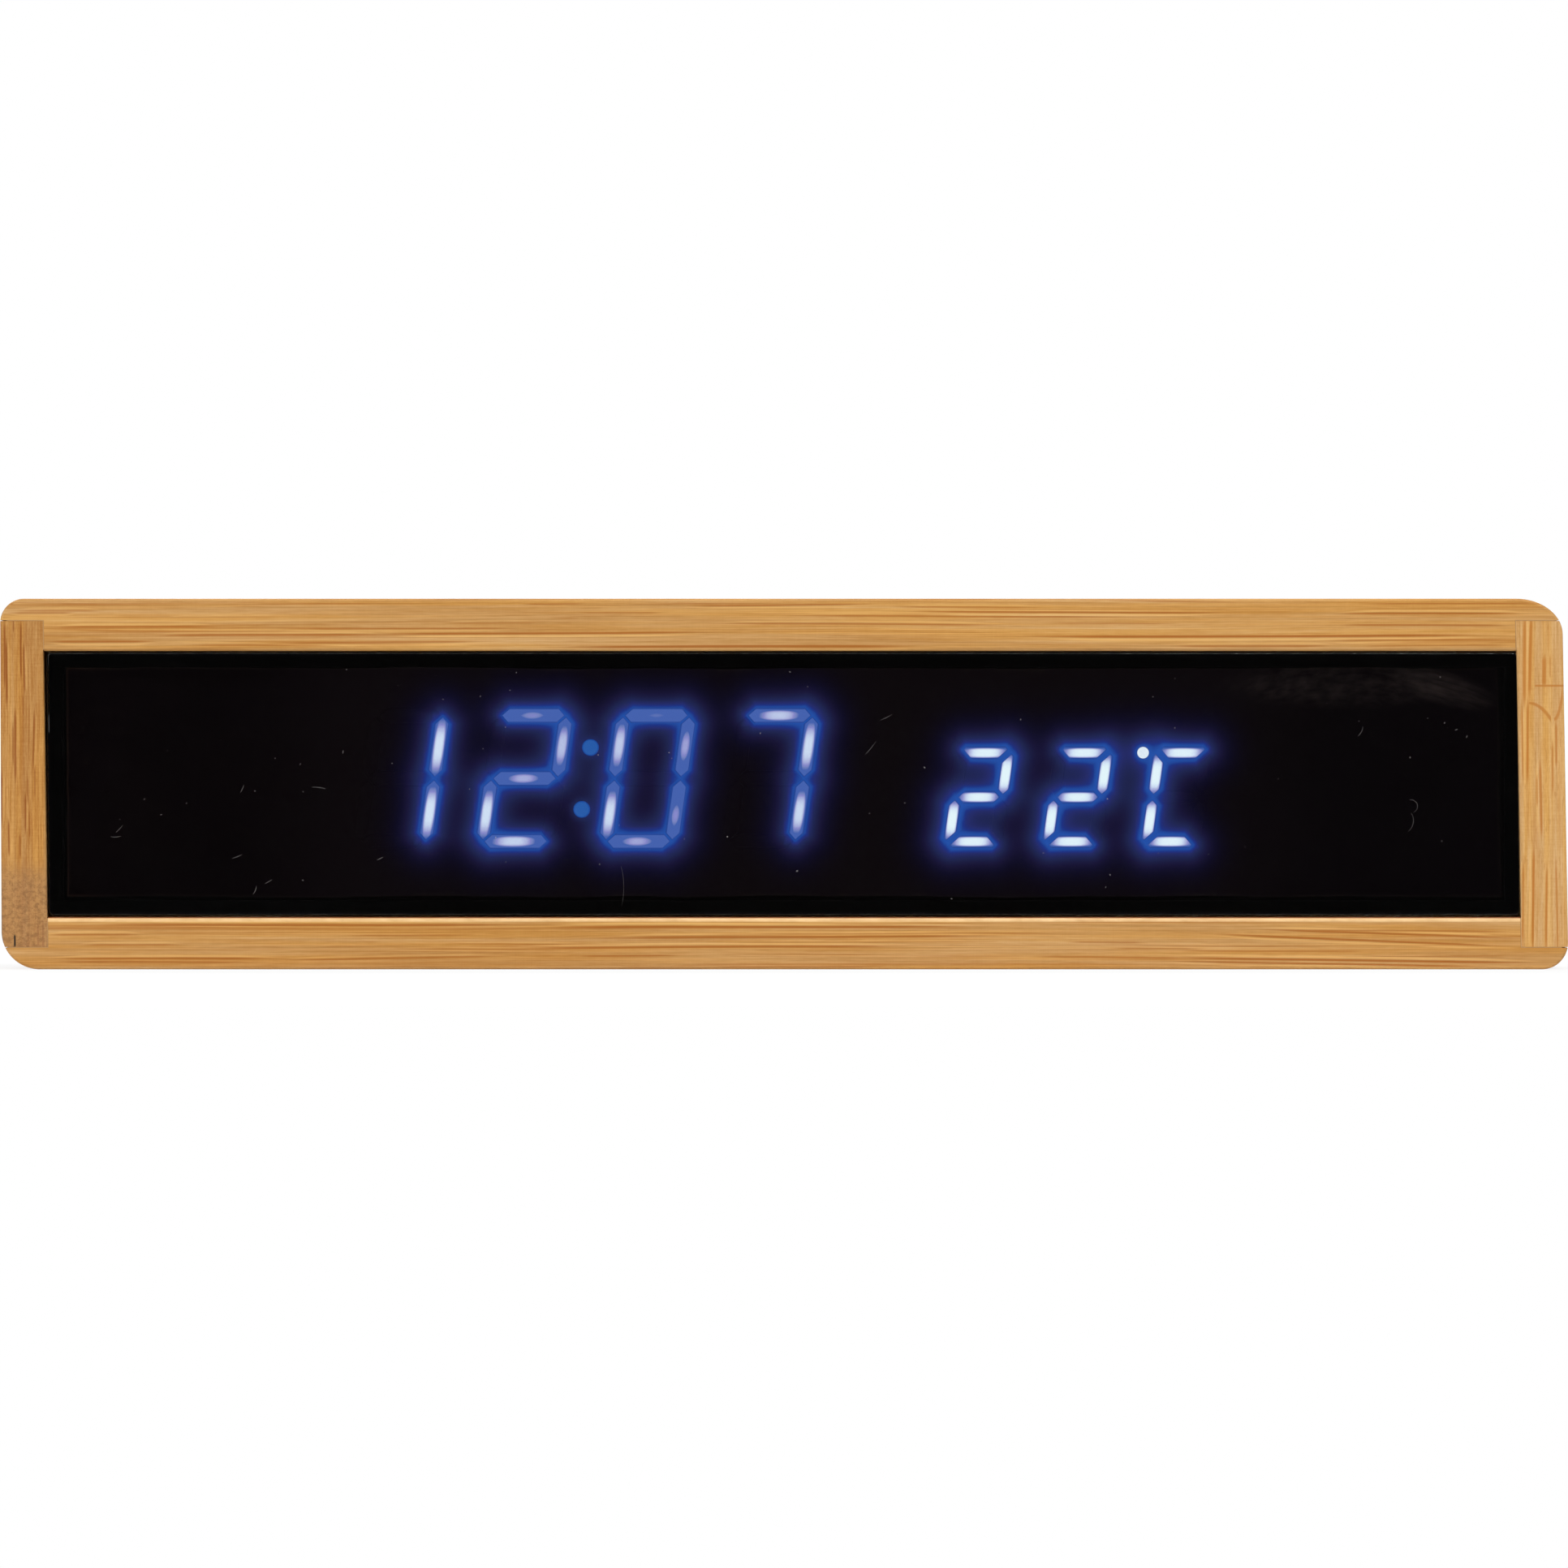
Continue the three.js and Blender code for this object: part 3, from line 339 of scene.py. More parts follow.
def bamboo_streak():
    """An amber streak between two points of a board's face, thin at its ends, with a pale line beside it."""
    words = ("Along", "Across", "Start", "Low", "End", "High", "Width", "Strength", "Aside")
    n, given, out = shader_group(
        "bamboo streak", dict.fromkeys(words, "float"), {"Dark": "float", "Pale": "float"}
    )
    length = n.minus(given["End"], given["Start"])
    climb = n.minus(given["High"], given["Low"])
    share = n.maths("DIVIDE", n.minus(given["Along"], given["Start"]), length)
    off = n.minus(given["Across"], n.maths("MULTIPLY_ADD", share, climb, given["Low"]))
    fade = n.times(n.smooth(share, 0.0, 0.24), n.smooth(share, 1.0, 0.76))
    width = n.times(given["Width"], n.spread(fade, 0.6, 1.55))
    strength = n.times(given["Strength"], fade)
    core = n.times(width, 0.3)
    beside = n.minus(off, n.times(n.times(given["Aside"], width), 1.8))
    dark = n.smooth(n.maths("ABSOLUTE", off), width, core)
    pale = n.smooth(n.maths("ABSOLUTE", beside), width, core)
    shown = n.maths("ABSOLUTE", given["Aside"])
    n.put(out["Dark"], n.times(dark, strength))
    n.put(out["Pale"], n.times(n.times(pale, strength), shown))
    return n.tree


def bamboo_arch():
    """A curved line across a board where a knuckle of the cane was."""
    words = ("Along", "Across", "Rise", "Middle", "Curve", "Near", "Far", "Width", "Strength")
    n, given, out = shader_group("bamboo arch", dict.fromkeys(words, "float"), {"Dark": "float"})
    across = given["Across"]
    aside = n.minus(across, given["Middle"])
    lean = n.times(aside, given["Curve"])
    off = n.maths("MULTIPLY_ADD", lean, aside, n.minus(given["Along"], given["Rise"]))
    steep = n.maths("MULTIPLY_ADD", n.maths("ABSOLUTE", lean), 2.0, 1.0)
    off = n.maths("DIVIDE", n.maths("ABSOLUTE", off), steep)
    shown = n.times(n.maths("GREATER_THAN", across, given["Near"]), given["Strength"])
    shown = n.times(n.maths("LESS_THAN", across, given["Far"]), shown)
    core = n.times(given["Width"], 0.3)
    n.put(out["Dark"], n.times(n.smooth(off, given["Width"], core), shown))
    return n.tree


def moulded_grain():
    """Spark-eroded skin of moulded plastic: fine pits, slow sheen changes and a little dust."""
    n, given, out = shader_group(
        "moulded grain",
        {"Place": "vector", "Pits": "float", "Sheen": "float", "Plain": "colour", "Dust": "colour"},
        {"Color": "colour", "Roughness": "float", "Height": "float"},
    )
    pits = n.noise(given["Place"], given["Pits"], 2.0, 0.6)
    slow = n.noise(given["Place"], 0.09, 3.0)
    dust = n.smooth(n.noise(given["Place"], 0.9, 4.0, 0.7), 0.56, 0.80)
    n.put(out["Color"], n.mix(n.times(dust, 0.35), given["Plain"], given["Dust"]))
    drift = n.times(n.minus(slow, 0.5), 0.22)
    rough = n.plus(given["Sheen"], drift)
    n.put(out["Roughness"], n.plus(rough, n.times(n.minus(pits, 0.5), 0.12)))
    n.put(out["Height"], pits)
    return n.tree


def plated_metal():
    """Rolled or plated metal: fine drawn lines and cloudy tarnish."""
    n, given, out = shader_group(
        "plated metal",
        {"Place": "vector", "Bright": "colour", "Dull": "colour", "Sheen": "float"},
        {"Color": "colour", "Roughness": "float", "Height": "float"},
    )
    lines = n.noise(n.vector("MULTIPLY", given["Place"], (0.6, 9.0, 9.0)), 1.0, 2.0)
    cloud = n.noise(given["Place"], 0.35, 3.0, 0.6)
    n.put(out["Color"], n.mix(n.smooth(cloud, 0.40, 0.72), given["Bright"], given["Dull"]))
    rough = n.plus(given["Sheen"], n.times(n.minus(cloud, 0.5), 0.1))
    n.put(out["Roughness"], n.plus(rough, n.times(n.minus(lines, 0.5), 0.12)))
    n.put(out["Height"], lines)
    return n.tree


BAMBOO_GRAIN = bamboo_grain()
BAMBOO_STREAK = bamboo_streak()
BAMBOO_ARCH = bamboo_arch()
MOULDED_GRAIN = moulded_grain()
PLATED_METAL = plated_metal()


def dress(n, shader, colour, roughness, normal):
    """Puts what varies over a piece on its shader."""
    n.put(shader["Base Color"], colour)
    n.put(shader["Roughness"], roughness)
    n.put(shader["Normal"], normal)


# Bamboo finishes

# How much shorter the fibres of a short board are drawn than those of a long one
RAIL_STRETCH = 1.0
STILE_STRETCH = 4.5


def stained_end(n, colour, along, place, from_edge):
    """The soiled lower end of a stile, with a short split near its foot."""
    cloud = n.noise(n.vector("MULTIPLY", place, (1.5, 1.0, 1.2)), 1.0, 5.0, 0.8)
    low = n.smooth(along, -10.0, -15.0)
    colour = n.mix(n.times(low, 0.6), colour, srgb(176, 132, 86))
    soiled = n.times(low, n.smooth(cloud, 0.42, 0.62))
    colour = n.mix(n.times(soiled, 0.6), colour, srgb(120, 80, 46))
    nick = n.times(n.smooth(along, -21.4, -21.9), n.smooth(along, -23.6, -23.1))
    slit = n.smooth(n.maths("ABSOLUTE", n.minus(from_edge, 2.1)), 0.20, 0.08)
    return n.mix(n.times(nick, slit), colour, srgb(30, 24, 20))


def edge_highlight_and_shade(n, colour, y, height, place):
    """The front inner edge of a rail: a painted highlight where its eased edge faces the light from above,
    partly pale rubbed wear, and a painted shade line at its lip.
    """
    inwards = n.minus(HALF_HEIGHT, n.maths("ABSOLUTE", height))
    edge_highlight = n.spread(n.noise(n.vector("MULTIPLY", place, (0.22, 0.5, 0.5)), 1.0, 3.0, 0.6), 0.1, 1.3)
    front = n.smooth(y, 0.9 - HALF_DEPTH, 0.55 - HALF_DEPTH)
    edge_highlight = n.times(edge_highlight, n.smooth(inwards, RAIL - 0.80, RAIL - 0.52), clamp=True)
    colour = n.mix(n.times(edge_highlight, front), colour, srgb(255, 216, 158))
    lip_shade = n.times(front, n.smooth(inwards, RAIL - 0.24, RAIL - 0.10))
    return n.mix(lip_shade, colour, srgb(128, 64, 12))


def bamboo(
    name, across, lines, streaks, ink,
    tone=0.0, wide=1.0, bright=1.0, arches=(), stained=False, lit_and_shaded_edge=False
):
    """One board's finish. The fibres run along X on rails and along Z on stiles."""
    material, n, shader = finish(name, specular_ior_level=0.3)
    upright = across == "x"
    x, y, z = n.parts(n.place())
    along, height = (z, x) if upright else (x, z)
    place = n.joined(along, y, height)
    bend = n.noise(n.vector("MULTIPLY", place, (0.03 if upright else 0.014, 0.03, 0.12)), 1.0, 1.0)
    wave = n.times(n.minus(bend, 0.5), 0.9)
    fibres = n.vector("ADD", place, n.joined(0.0, wave, wave))
    outer = HALF_WIDTH if upright else HALF_HEIGHT
    from_edge = n.minus(outer, n.maths("ABSOLUTE", n.parts(fibres)["Z"]))
    spot = {"along": along, "across": from_edge}
    dark, pale = 0.0, 0.0
    for (start, low), (end, high), width, strength, aside in lines:
        ends = {"start": start, "low": low, "end": end, "high": high}
        line = {"width": width * wide, "strength": strength, "aside": aside}
        streak = n.group(BAMBOO_STREAK, **spot, **ends, **line)
        dark = n.maths("MAXIMUM", dark, streak["Dark"])
        pale = n.maths("MAXIMUM", pale, streak["Pale"])
    for (rise, middle), curve, (near, far), width, strength in arches:
        course = {"rise": rise, "middle": middle, "curve": curve, "near": near, "far": far}
        arch = n.group(BAMBOO_ARCH, **spot, **course, width=width, strength=strength)
        dark = n.maths("MAXIMUM", dark, arch["Dark"])
    levels = {"Red": dark, "Green": n.times(pale, bright)}
    marks = n.add("ShaderNodeCombineColor", levels).outputs["Color"]
    facing = n.parts(n.add("ShaderNodeNewGeometry").outputs["Normal"])["Z" if upright else "X"]
    end_grain = n.smooth(n.maths("ABSOLUTE", facing), 0.72, 0.92)
    sanding = n.noise(n.vector("MULTIPLY", place, (4.5, 0.6, 0.25)), 1.0, 2.0)
    tone = n.maths("MULTIPLY_ADD", n.minus(sanding, 0.5), 0.12 if upright else 0.04, tone)
    values = {"marks": marks, "ink": ink, "tone": tone, "end_grain": end_grain}
    stretch = STILE_STRETCH if upright else RAIL_STRETCH
    grain = n.group(BAMBOO_GRAIN, fibres=fibres, stretch=stretch, streaks=streaks, **values)
    colour = grain["Color"]
    if stained:
        colour = stained_end(n, colour, along, place, from_edge)
    # Painted highlight and painted shade along the front inner edge of a rail
    if lit_and_shaded_edge:
        colour = edge_highlight_and_shade(n, colour, y, height, place)
    dress(n, shader, colour, grain["Roughness"], n.bump(grain["Height"], 0.25, 0.03))
    return material


# Streaks as seen on the clock: both ends (along the board, in from its outer edge), half width, strength and
# the side of the pale line
TOP_LINES = (
    ((-111, 1.55), (-97, 1.55), 0.12, 0.5, -1),
    ((-112, 1.90), (-101, 1.85), 0.12, 0.6, 1),
    ((-107, 3.95), (-79, 3.85), 0.13, 0.85, -1),
    ((-75, 4.20), (-35, 4.30), 0.11, 0.7, 1),
    ((-94, 5.20), (-55, 5.10), 0.13, 0.85, -1),
    ((-63, 5.05), (-6, 4.95), 0.14, 0.9, 1),
    ((-107, 6.00), (-89, 6.10), 0.14, 0.85, 1),
    ((-77, 6.40), (-40, 6.15), 0.13, 0.75, 1),
    ((-88, 6.70), (-62, 6.75), 0.12, 0.55, 0),
    ((-38, 0.85), (-28, 0.85), 0.10, 0.6, 0),
    ((-31, 2.15), (-16, 2.15), 0.11, 0.6, 0),
    ((-17, 1.15), (15, 0.85), 0.12, 0.7, 1),
    ((-50, 3.50), (-34, 3.50), 0.10, 0.4, -1),
    ((-14, 3.75), (35, 3.75), 0.12, 0.75, -1),
    ((-37, 6.95), (25, 6.90), 0.17, 0.95, 1),
    ((14, 1.30), (39, 1.30), 0.11, 0.55, -1),
    ((13, 1.95), (68, 1.95), 0.13, 0.85, 1),
    ((-4, 2.60), (53, 2.60), 0.12, 0.7, -1),
    ((36, 3.45), (58, 3.50), 0.10, 0.5, 0),
    ((28, 5.35), (107, 5.35), 0.16, 0.95, 1),
    ((53, 6.70), (81, 6.70), 0.13, 0.7, -1),
    ((80, 0.80), (111, 0.80), 0.11, 0.65, 0),
    ((77, 2.20), (109, 2.25), 0.13, 0.85, -1),
    ((77, 3.85), (107, 3.95), 0.13, 0.75, 0),
    ((75, 5.95), (107, 6.00), 0.12, 0.7, 1),
    ((80, 6.75), (107, 6.80), 0.12, 0.6, 0),
)
BOTTOM_LINES = (
    ((-107, 6.20), (-33, 6.40), 0.15, 0.85, 1),
    ((-107, 4.95), (-91, 4.95), 0.12, 0.7, 1),
    ((-64, 4.95), (-44, 5.00), 0.11, 0.55, 0),
    ((-102, 3.60), (-85, 3.60), 0.11, 0.6, 1),
    ((-108, 1.65), (-71, 1.75), 0.13, 0.85, 1),
    ((-108, 1.20), (-73, 1.20), 0.13, 0.75, 0),
    ((-75, 1.45), (-37, 1.95), 0.11, 0.6, 1),
    ((-41, 5.90), (31, 6.10), 0.17, 0.95, 1),
    ((-32, 4.45), (36, 4.65), 0.15, 0.9, 1),
    ((-44, 3.10), (23, 3.20), 0.15, 0.9, 1),
    ((-12, 4.95), (46, 5.10), 0.10, 0.6, 1),
    ((-31, 1.95), (-14, 1.95), 0.11, 0.7, 0),
    ((-13, 3.70), (34, 3.85), 0.09, 0.4, 1),
    ((40, 3.85), (53, 3.85), 0.11, 0.6, 0),
    ((46, 3.00), (61, 3.00), 0.11, 0.55, 0),
    ((33, 1.75), (61, 1.65), 0.13, 0.7, 0),
    ((-13, 0.25), (16, 0.30), 0.10, 0.6, 0),
    ((65, 5.90), (108, 4.35), 0.14, 0.85, 1),
    ((69, 5.70), (108, 5.40), 0.12, 0.7, 0),
    ((57, 5.30), (108, 3.10), 0.14, 0.85, -1),
    ((53, 2.80), (87, 2.60), 0.11, 0.6, 0),
    ((49, 1.85), (113, 0.90), 0.15, 0.9, 1),
    ((51, 1.30), (105, 0.40), 0.13, 0.8, -1),
)
LEFT_LINES = (
    ((24.5, 0.75), (12.5, 0.70), 0.15, 0.85, 0),
    ((22.0, 0.95), (9.8, 1.05), 0.16, 0.95, 1),
    ((24.5, 2.05), (21.4, 2.05), 0.13, 0.7, 0),
    ((24.5, 3.15), (13.9, 3.10), 0.15, 0.9, 0),
    ((21.0, 3.50), (12.2, 3.60), 0.14, 0.85, 1),
    ((13.2, 3.35), (9.2, 3.40), 0.12, 0.65, 0),
    ((12.2, 2.20), (-1.2, 2.30), 0.20, 0.85, 1),
    ((9.5, 1.90), (2.0, 1.95), 0.13, 0.7, 0),
    ((11.5, 4.95), (1.2, 4.85), 0.15, 0.75, 1),
    ((3.0, 5.10), (-2.5, 5.15), 0.12, 0.65, 0),
    ((3.0, 0.30), (-7.0, 0.35), 0.15, 0.8, 1),
    ((1.6, 4.10), (-3.5, 4.15), 0.12, 0.65, 0),
    ((-0.8, 3.75), (-7.6, 3.70), 0.15, 0.8, 1),
    ((-3.2, 4.30), (-8.2, 4.35), 0.12, 0.65, 0),
    ((-4.5, 1.35), (-11.0, 1.40), 0.15, 0.8, 1),
    ((-6.8, 2.90), (-11.0, 2.95), 0.13, 0.7, 0),
    ((-19.5, 5.50), (-24.0, 5.55), 0.16, 0.8, 0),
    ((-19.0, 6.20), (-24.4, 6.25), 0.18, 0.85, 0),
    ((-21.0, 4.10), (-24.2, 4.10), 0.14, 0.7, 0),
)
RIGHT_LINES = (
    ((26.0, 6.15), (9.5, 6.25), 0.26, 0.85, -1),
    ((26.0, 5.25), (10.5, 5.60), 0.24, 0.9, 1),
    ((14.0, 5.70), (-1.5, 5.90), 0.18, 0.9, 1),
    ((13.5, 6.55), (-1.5, 6.50), 0.13, 0.75, 0),
    ((18.9, 3.55), (13.4, 3.55), 0.32, 0.8, 0),
    ((18.8, 2.70), (14.8, 2.70), 0.10, 0.75, 0),
    ((23.6, 2.90), (18.0, 2.85), 0.08, 0.45, 0),
    ((9.8, 1.85), (1.5, 1.90), 0.16, 0.8, 1),
    ((7.0, 2.40), (-2.5, 2.45), 0.15, 0.75, 0),
    ((4.8, 4.15), (-9.0, 4.00), 0.19, 0.85, 1),
    ((1.8, 4.60), (-3.8, 4.55), 0.13, 0.65, 0),
    ((-9.5, 6.50), (-25.0, 6.55), 0.15, 0.85, 1),
    ((-7.0, 5.05), (-26.0, 5.10), 0.19, 0.95, 1),
    ((-10.0, 3.20), (-25.5, 3.20), 0.16, 0.85, -1),
    ((-9.0, 1.95), (-26.0, 1.50), 0.14, 0.8, 0),
)
# Lines of the cane's knuckles: place (along the board, in from its outer edge), curve, the stretch across the
# board where it shows, half width and strength
RIGHT_ARCHES = (
    ((14.1, 2.0), 0.0, (-0.5, 4.8), 0.24, 0.75),
    ((11.6, 5.6), 0.26, (2.6, 5.6), 0.24, 0.75),
    ((9.3, 2.15), -2.2, (0.85, 2.15), 0.26, 0.7),
)
AMBER = srgb(164, 92, 18)
top_bamboo = bamboo("bamboo top rail", "z", TOP_LINES, 0.45, AMBER, tone=-0.02)
# The bottom rail gets a painted highlight and painted shade along its inner edge
bottom_bamboo = bamboo("bamboo bottom rail", "z", BOTTOM_LINES, 0.45, AMBER, tone=-0.02, lit_and_shaded_edge=True)
left_bamboo = bamboo(
    "bamboo left stile", "x", LEFT_LINES, 0.2, srgb(140, 70, 6),
    tone=-0.105, wide=0.78, bright=0.45, stained=True
)
right_bamboo = bamboo(
    "bamboo right stile", "x", RIGHT_LINES, 0.2, srgb(184, 112, 34),
    tone=0.07, wide=0.85, bright=0.8, arches=RIGHT_ARCHES
)
post_bamboo = bamboo("bamboo corner post", "x", LEFT_LINES, 0.6, AMBER)


# Plastic, metal and board finishes


def moulded(name, plain, dust, pits, sheen, bump=0.25, **values):
    """Moulded or cast skin: its colour, its dust, how fine its pits are and how rough it is."""
    material, n, shader = finish(name, **values)
    skin = n.group(MOULDED_GRAIN, place=n.place(), pits=pits, sheen=sheen, plain=plain, dust=dust)
    dress(n, shader, skin["Color"], skin["Roughness"], n.bump(skin["Height"], bump, 0.03))
    return material


def plated(name, bright, dull, sheen):
    """Bare or plated metal: its bright colour, its tarnish and how rough it is."""
    material, n, shader = finish(name, metallic=1.0)
    skin = n.group(PLATED_METAL, place=n.place(), bright=bright, dull=dull, sheen=sheen)
    dress(n, shader, skin["Color"], skin["Roughness"], n.bump(skin["Height"], 0.12, 0.01))
    return material


def solder_mask():
    """Green board: tracks under the mask and small bare pads."""
    material, n, shader = finish("green solder mask")
    place = n.place()
    x, _, z = n.parts(place)
    wander = n.noise(n.joined(x, 0.0, 0.0), 0.08, 0.0)
    lane = n.maths("FRACT", n.times(n.plus(z, wander), 0.8))
    track = n.smooth(n.maths("ABSOLUTE", n.minus(lane, 0.5)), 0.22, 0.16)
    track = n.times(track, n.smooth(n.noise(place, 0.12, 1.0), 0.48, 0.52))
    pad = n.add("ShaderNodeTexVoronoi", {"Vector": place, "Scale": 0.35}).outputs["Distance"]
    green = n.mix(track, srgb(22, 66, 38), srgb(36, 96, 54))
    colour = n.mix(n.smooth(pad, 0.16, 0.13), green, srgb(176, 176, 170))
    roughness = n.spread(n.noise(place, 1.2, 2.0), 0.30, 0.50)
    dress(n, shader, colour, roughness, n.bump(track, 0.2, 0.03))
    return material


def ribbon_vinyl():
    """Grey ribbon with a groove between its conductors, painted darker in the groove as shade."""
    material, n, shader = finish("grey ribbon vinyl")
    place = n.place()
    groove = n.maths("ABSOLUTE", n.minus(n.maths("FRACT", n.parts(place)["Z"]), 0.5))
    # The groove is painted darker: painted shade
    colour = n.mix(n.smooth(groove, 0.38, 0.5), srgb(150, 152, 156), srgb(104, 106, 110))
    roughness = n.spread(n.noise(place, 1.5, 2.0), 0.45, 0.65)
    dress(n, shader, colour, roughness, n.bump(groove, 0.4, 0.1))
    return material


black_plastic = moulded("black moulded plastic", srgb(17, 17, 18), srgb(58, 56, 54), 3.2, 0.50)
tray_plastic = moulded(
    "black tray plastic", srgb(11, 9, 9), srgb(20, 17, 15), 3.0, 0.62, specular_ior_level=0.05
)
button_plastic = moulded("satin button plastic", srgb(26, 26, 28), srgb(62, 60, 58), 4.5, 0.38, 0.12)
chip_plastic = moulded("moulded chip plastic", srgb(27, 27, 29), srgb(60, 58, 56), 5.0, 0.55)
foam = moulded("closed-cell foam", srgb(6, 5, 5), srgb(13, 11, 10), 2.2, 0.90, 0.6, specular_ior_level=0.05)
pale_nylon = moulded("natural nylon", srgb(226, 219, 203), srgb(190, 180, 160), 2.5, 0.50, 0.12)
bead_coat = moulded("dipped bead coat", srgb(22, 28, 62), srgb(50, 54, 80), 1.5, 0.30, 0.1)
glue = moulded("dried wood glue", srgb(190, 148, 96), srgb(214, 196, 166), 2.0, 0.60, 0.2)
tin_plate = plated("bright tin plate", srgb(198, 198, 200), srgb(150, 150, 152), 0.30)
aluminium = plated("bare aluminium", srgb(205, 206, 208), srgb(170, 171, 174), 0.35)
black_steel = plated("black zinc plate", srgb(58, 58, 60), srgb(34, 34, 36), 0.34)
cell_steel = plated("nickel plated steel", srgb(206, 205, 202), srgb(199, 197, 193), 0.26)
gold_plate = plated("thin gold plate", srgb(222, 182, 104), srgb(186, 146, 80), 0.30)
green_mask = solder_mask()
grey_ribbon = ribbon_vinyl()


# Smoked window, film and lit strokes

# Share of light that passes the window, and its refractive index, kept low so that it mirrors less
WINDOW_TINT = 0.86
WINDOW_INDEX = 1.33
# Faint painted glow given to the film round the digits and to the unlit strokes
PAINTED_FILM_GLOW = (0.0027, 0.0016, 0.0022, 1)
FILM_BLACK = srgb(4, 4, 4)
LIGHT = 1 / WINDOW_TINT


def smoked_acrylic():
    """Polished smoked acrylic with faint wiping haze."""
    material, n, shader = finish("smoked acrylic", transmission_weight=1.0, ior=WINDOW_INDEX)
    shader["Base Color"].default_value = (WINDOW_TINT, WINDOW_TINT, WINDOW_TINT, 1)
    place = n.place()
    wipe = n.noise(n.vector("MULTIPLY", place, (0.05, 0.05, 0.3)), 1.0, 4.0, 0.6)
    n.put(shader["Roughness"], n.spread(wipe, 0.0, 0.012))
    return material


def halo_colour():
    """Colour of the light that spreads round the strokes, from deep violet to saturated blue."""
    n, given, out = shader_group("halo colour", {"Glow": "float", "Field": "colour"}, {"Color": "colour"})
    stops = (
        (0.0, (0.0, 0.0, 0.0, 1)),
        (0.012, (0.0003, 0.0004, 0.0050, 1)),
        (0.036, (0.0014, 0.0019, 0.0150, 1)),
        (0.081, (0.0060, 0.0055, 0.0345, 1)),
        (0.171, (0.0104, 0.0166, 0.0740, 1)),
        (0.327, (0.0156, 0.0236, 0.1410, 1)),
        (0.52, (0.0100, 0.0311, 0.2290, 1)),
        (0.70, (0.0120, 0.0590, 0.3100, 1)),
        (1.0, (0.0150, 0.0810, 0.3940, 1)),
    )
    n.put(out["Color"], n.mix(1.0, n.ramp(given["Glow"], stops), given["Field"], "ADD"))
    return n.tree


HALO_COLOUR = halo_colour()


def film_finish():
    """Dark film that glows blue round the lit strokes, with brushed smears near its top right corner, a faint
    painted glow round the digits and painted light along its cut edge.
    """
    material, n, shader = finish("dark display film", emission_strength=LIGHT, specular_ior_level=0.02)
    place = n.place()
    x, _, z = n.parts(place)

    def wiped(middle, turn, half, streaks, low, high):
        """An oval patch of fine streaks along its own length."""
        cos, sin = math.cos(math.radians(turn)), math.sin(math.radians(turn))
        dx = n.minus(x, middle[0])
        dz = n.minus(z, middle[1])
        along = n.maths("MULTIPLY_ADD", dx, cos, n.times(dz, sin))
        across = n.maths("MULTIPLY_ADD", dz, cos, n.times(dx, -sin))
        bow = n.maths("MULTIPLY_ADD", n.times(along, along), 0.012, across)
        far = n.maths("POWER", n.maths("DIVIDE", along, half[0]), 2.0)
        far = n.plus(far, n.maths("POWER", n.maths("DIVIDE", across, half[1]), 2.0))
        fibres = n.joined(n.times(along, streaks[0]), 0.0, n.times(bow, streaks[1]))
        return n.times(n.smooth(far, 1.0, 0.1), n.smooth(n.noise(fibres), low, high))

    broad = wiped((80.5, 14.4), 0, (20.0, 4.0), (0.45, 1.0), 0.20, 0.85)
    bright = wiped((95.0, 13.8), -17, (8.5, 2.8), (0.25, 1.6), 0.10, 0.90)
    haze = n.times(n.smooth(x, -60.0, -104.0), n.noise(place, 0.12, 3.0))
    veil = n.maths("MULTIPLY_ADD", haze, 0.05, n.times(broad, 0.25))
    veil = n.maths("MULTIPLY_ADD", bright, 0.37, veil, clamp=True)
    # Faint painted glow of the film: dimmer to the left, fullest round the digits
    plain = n.mix(n.smooth(x, -80.0, 90.0), (0.0007, 0.0001, 0.0004, 1), (0.0012, 0.0006, 0.0010, 1))
    painted_glow_band = n.times(n.smooth(x, -84.0, -58.0), n.smooth(x, 82.0, 58.0))
    plain = n.mix(painted_glow_band, plain, PAINTED_FILM_GLOW)
    # Painted light along the film's cut edge, brighter at its left end
    cut = n.times(n.attribute("edge"), n.spread(n.noise(place, 0.4, 2.0), 0.2, 1.0))
    at_left = n.smooth(x, -95.0, -102.0)
    plain = n.mix(cut, plain, n.mix(at_left, (0.0060, 0.0042, 0.0036, 1), (0.0130, 0.0070, 0.0048, 1)))
    n.put(shader["Base Color"], n.mix(veil, FILM_BLACK, srgb(84, 74, 70)))
    n.put(shader["Roughness"], n.spread(n.noise(place, 2.0, 2.0), 0.55, 0.75))
    n.put(shader["Emission Color"], n.group(HALO_COLOUR, glow=n.attribute("glow"), field=plain)["Color"])
    return material


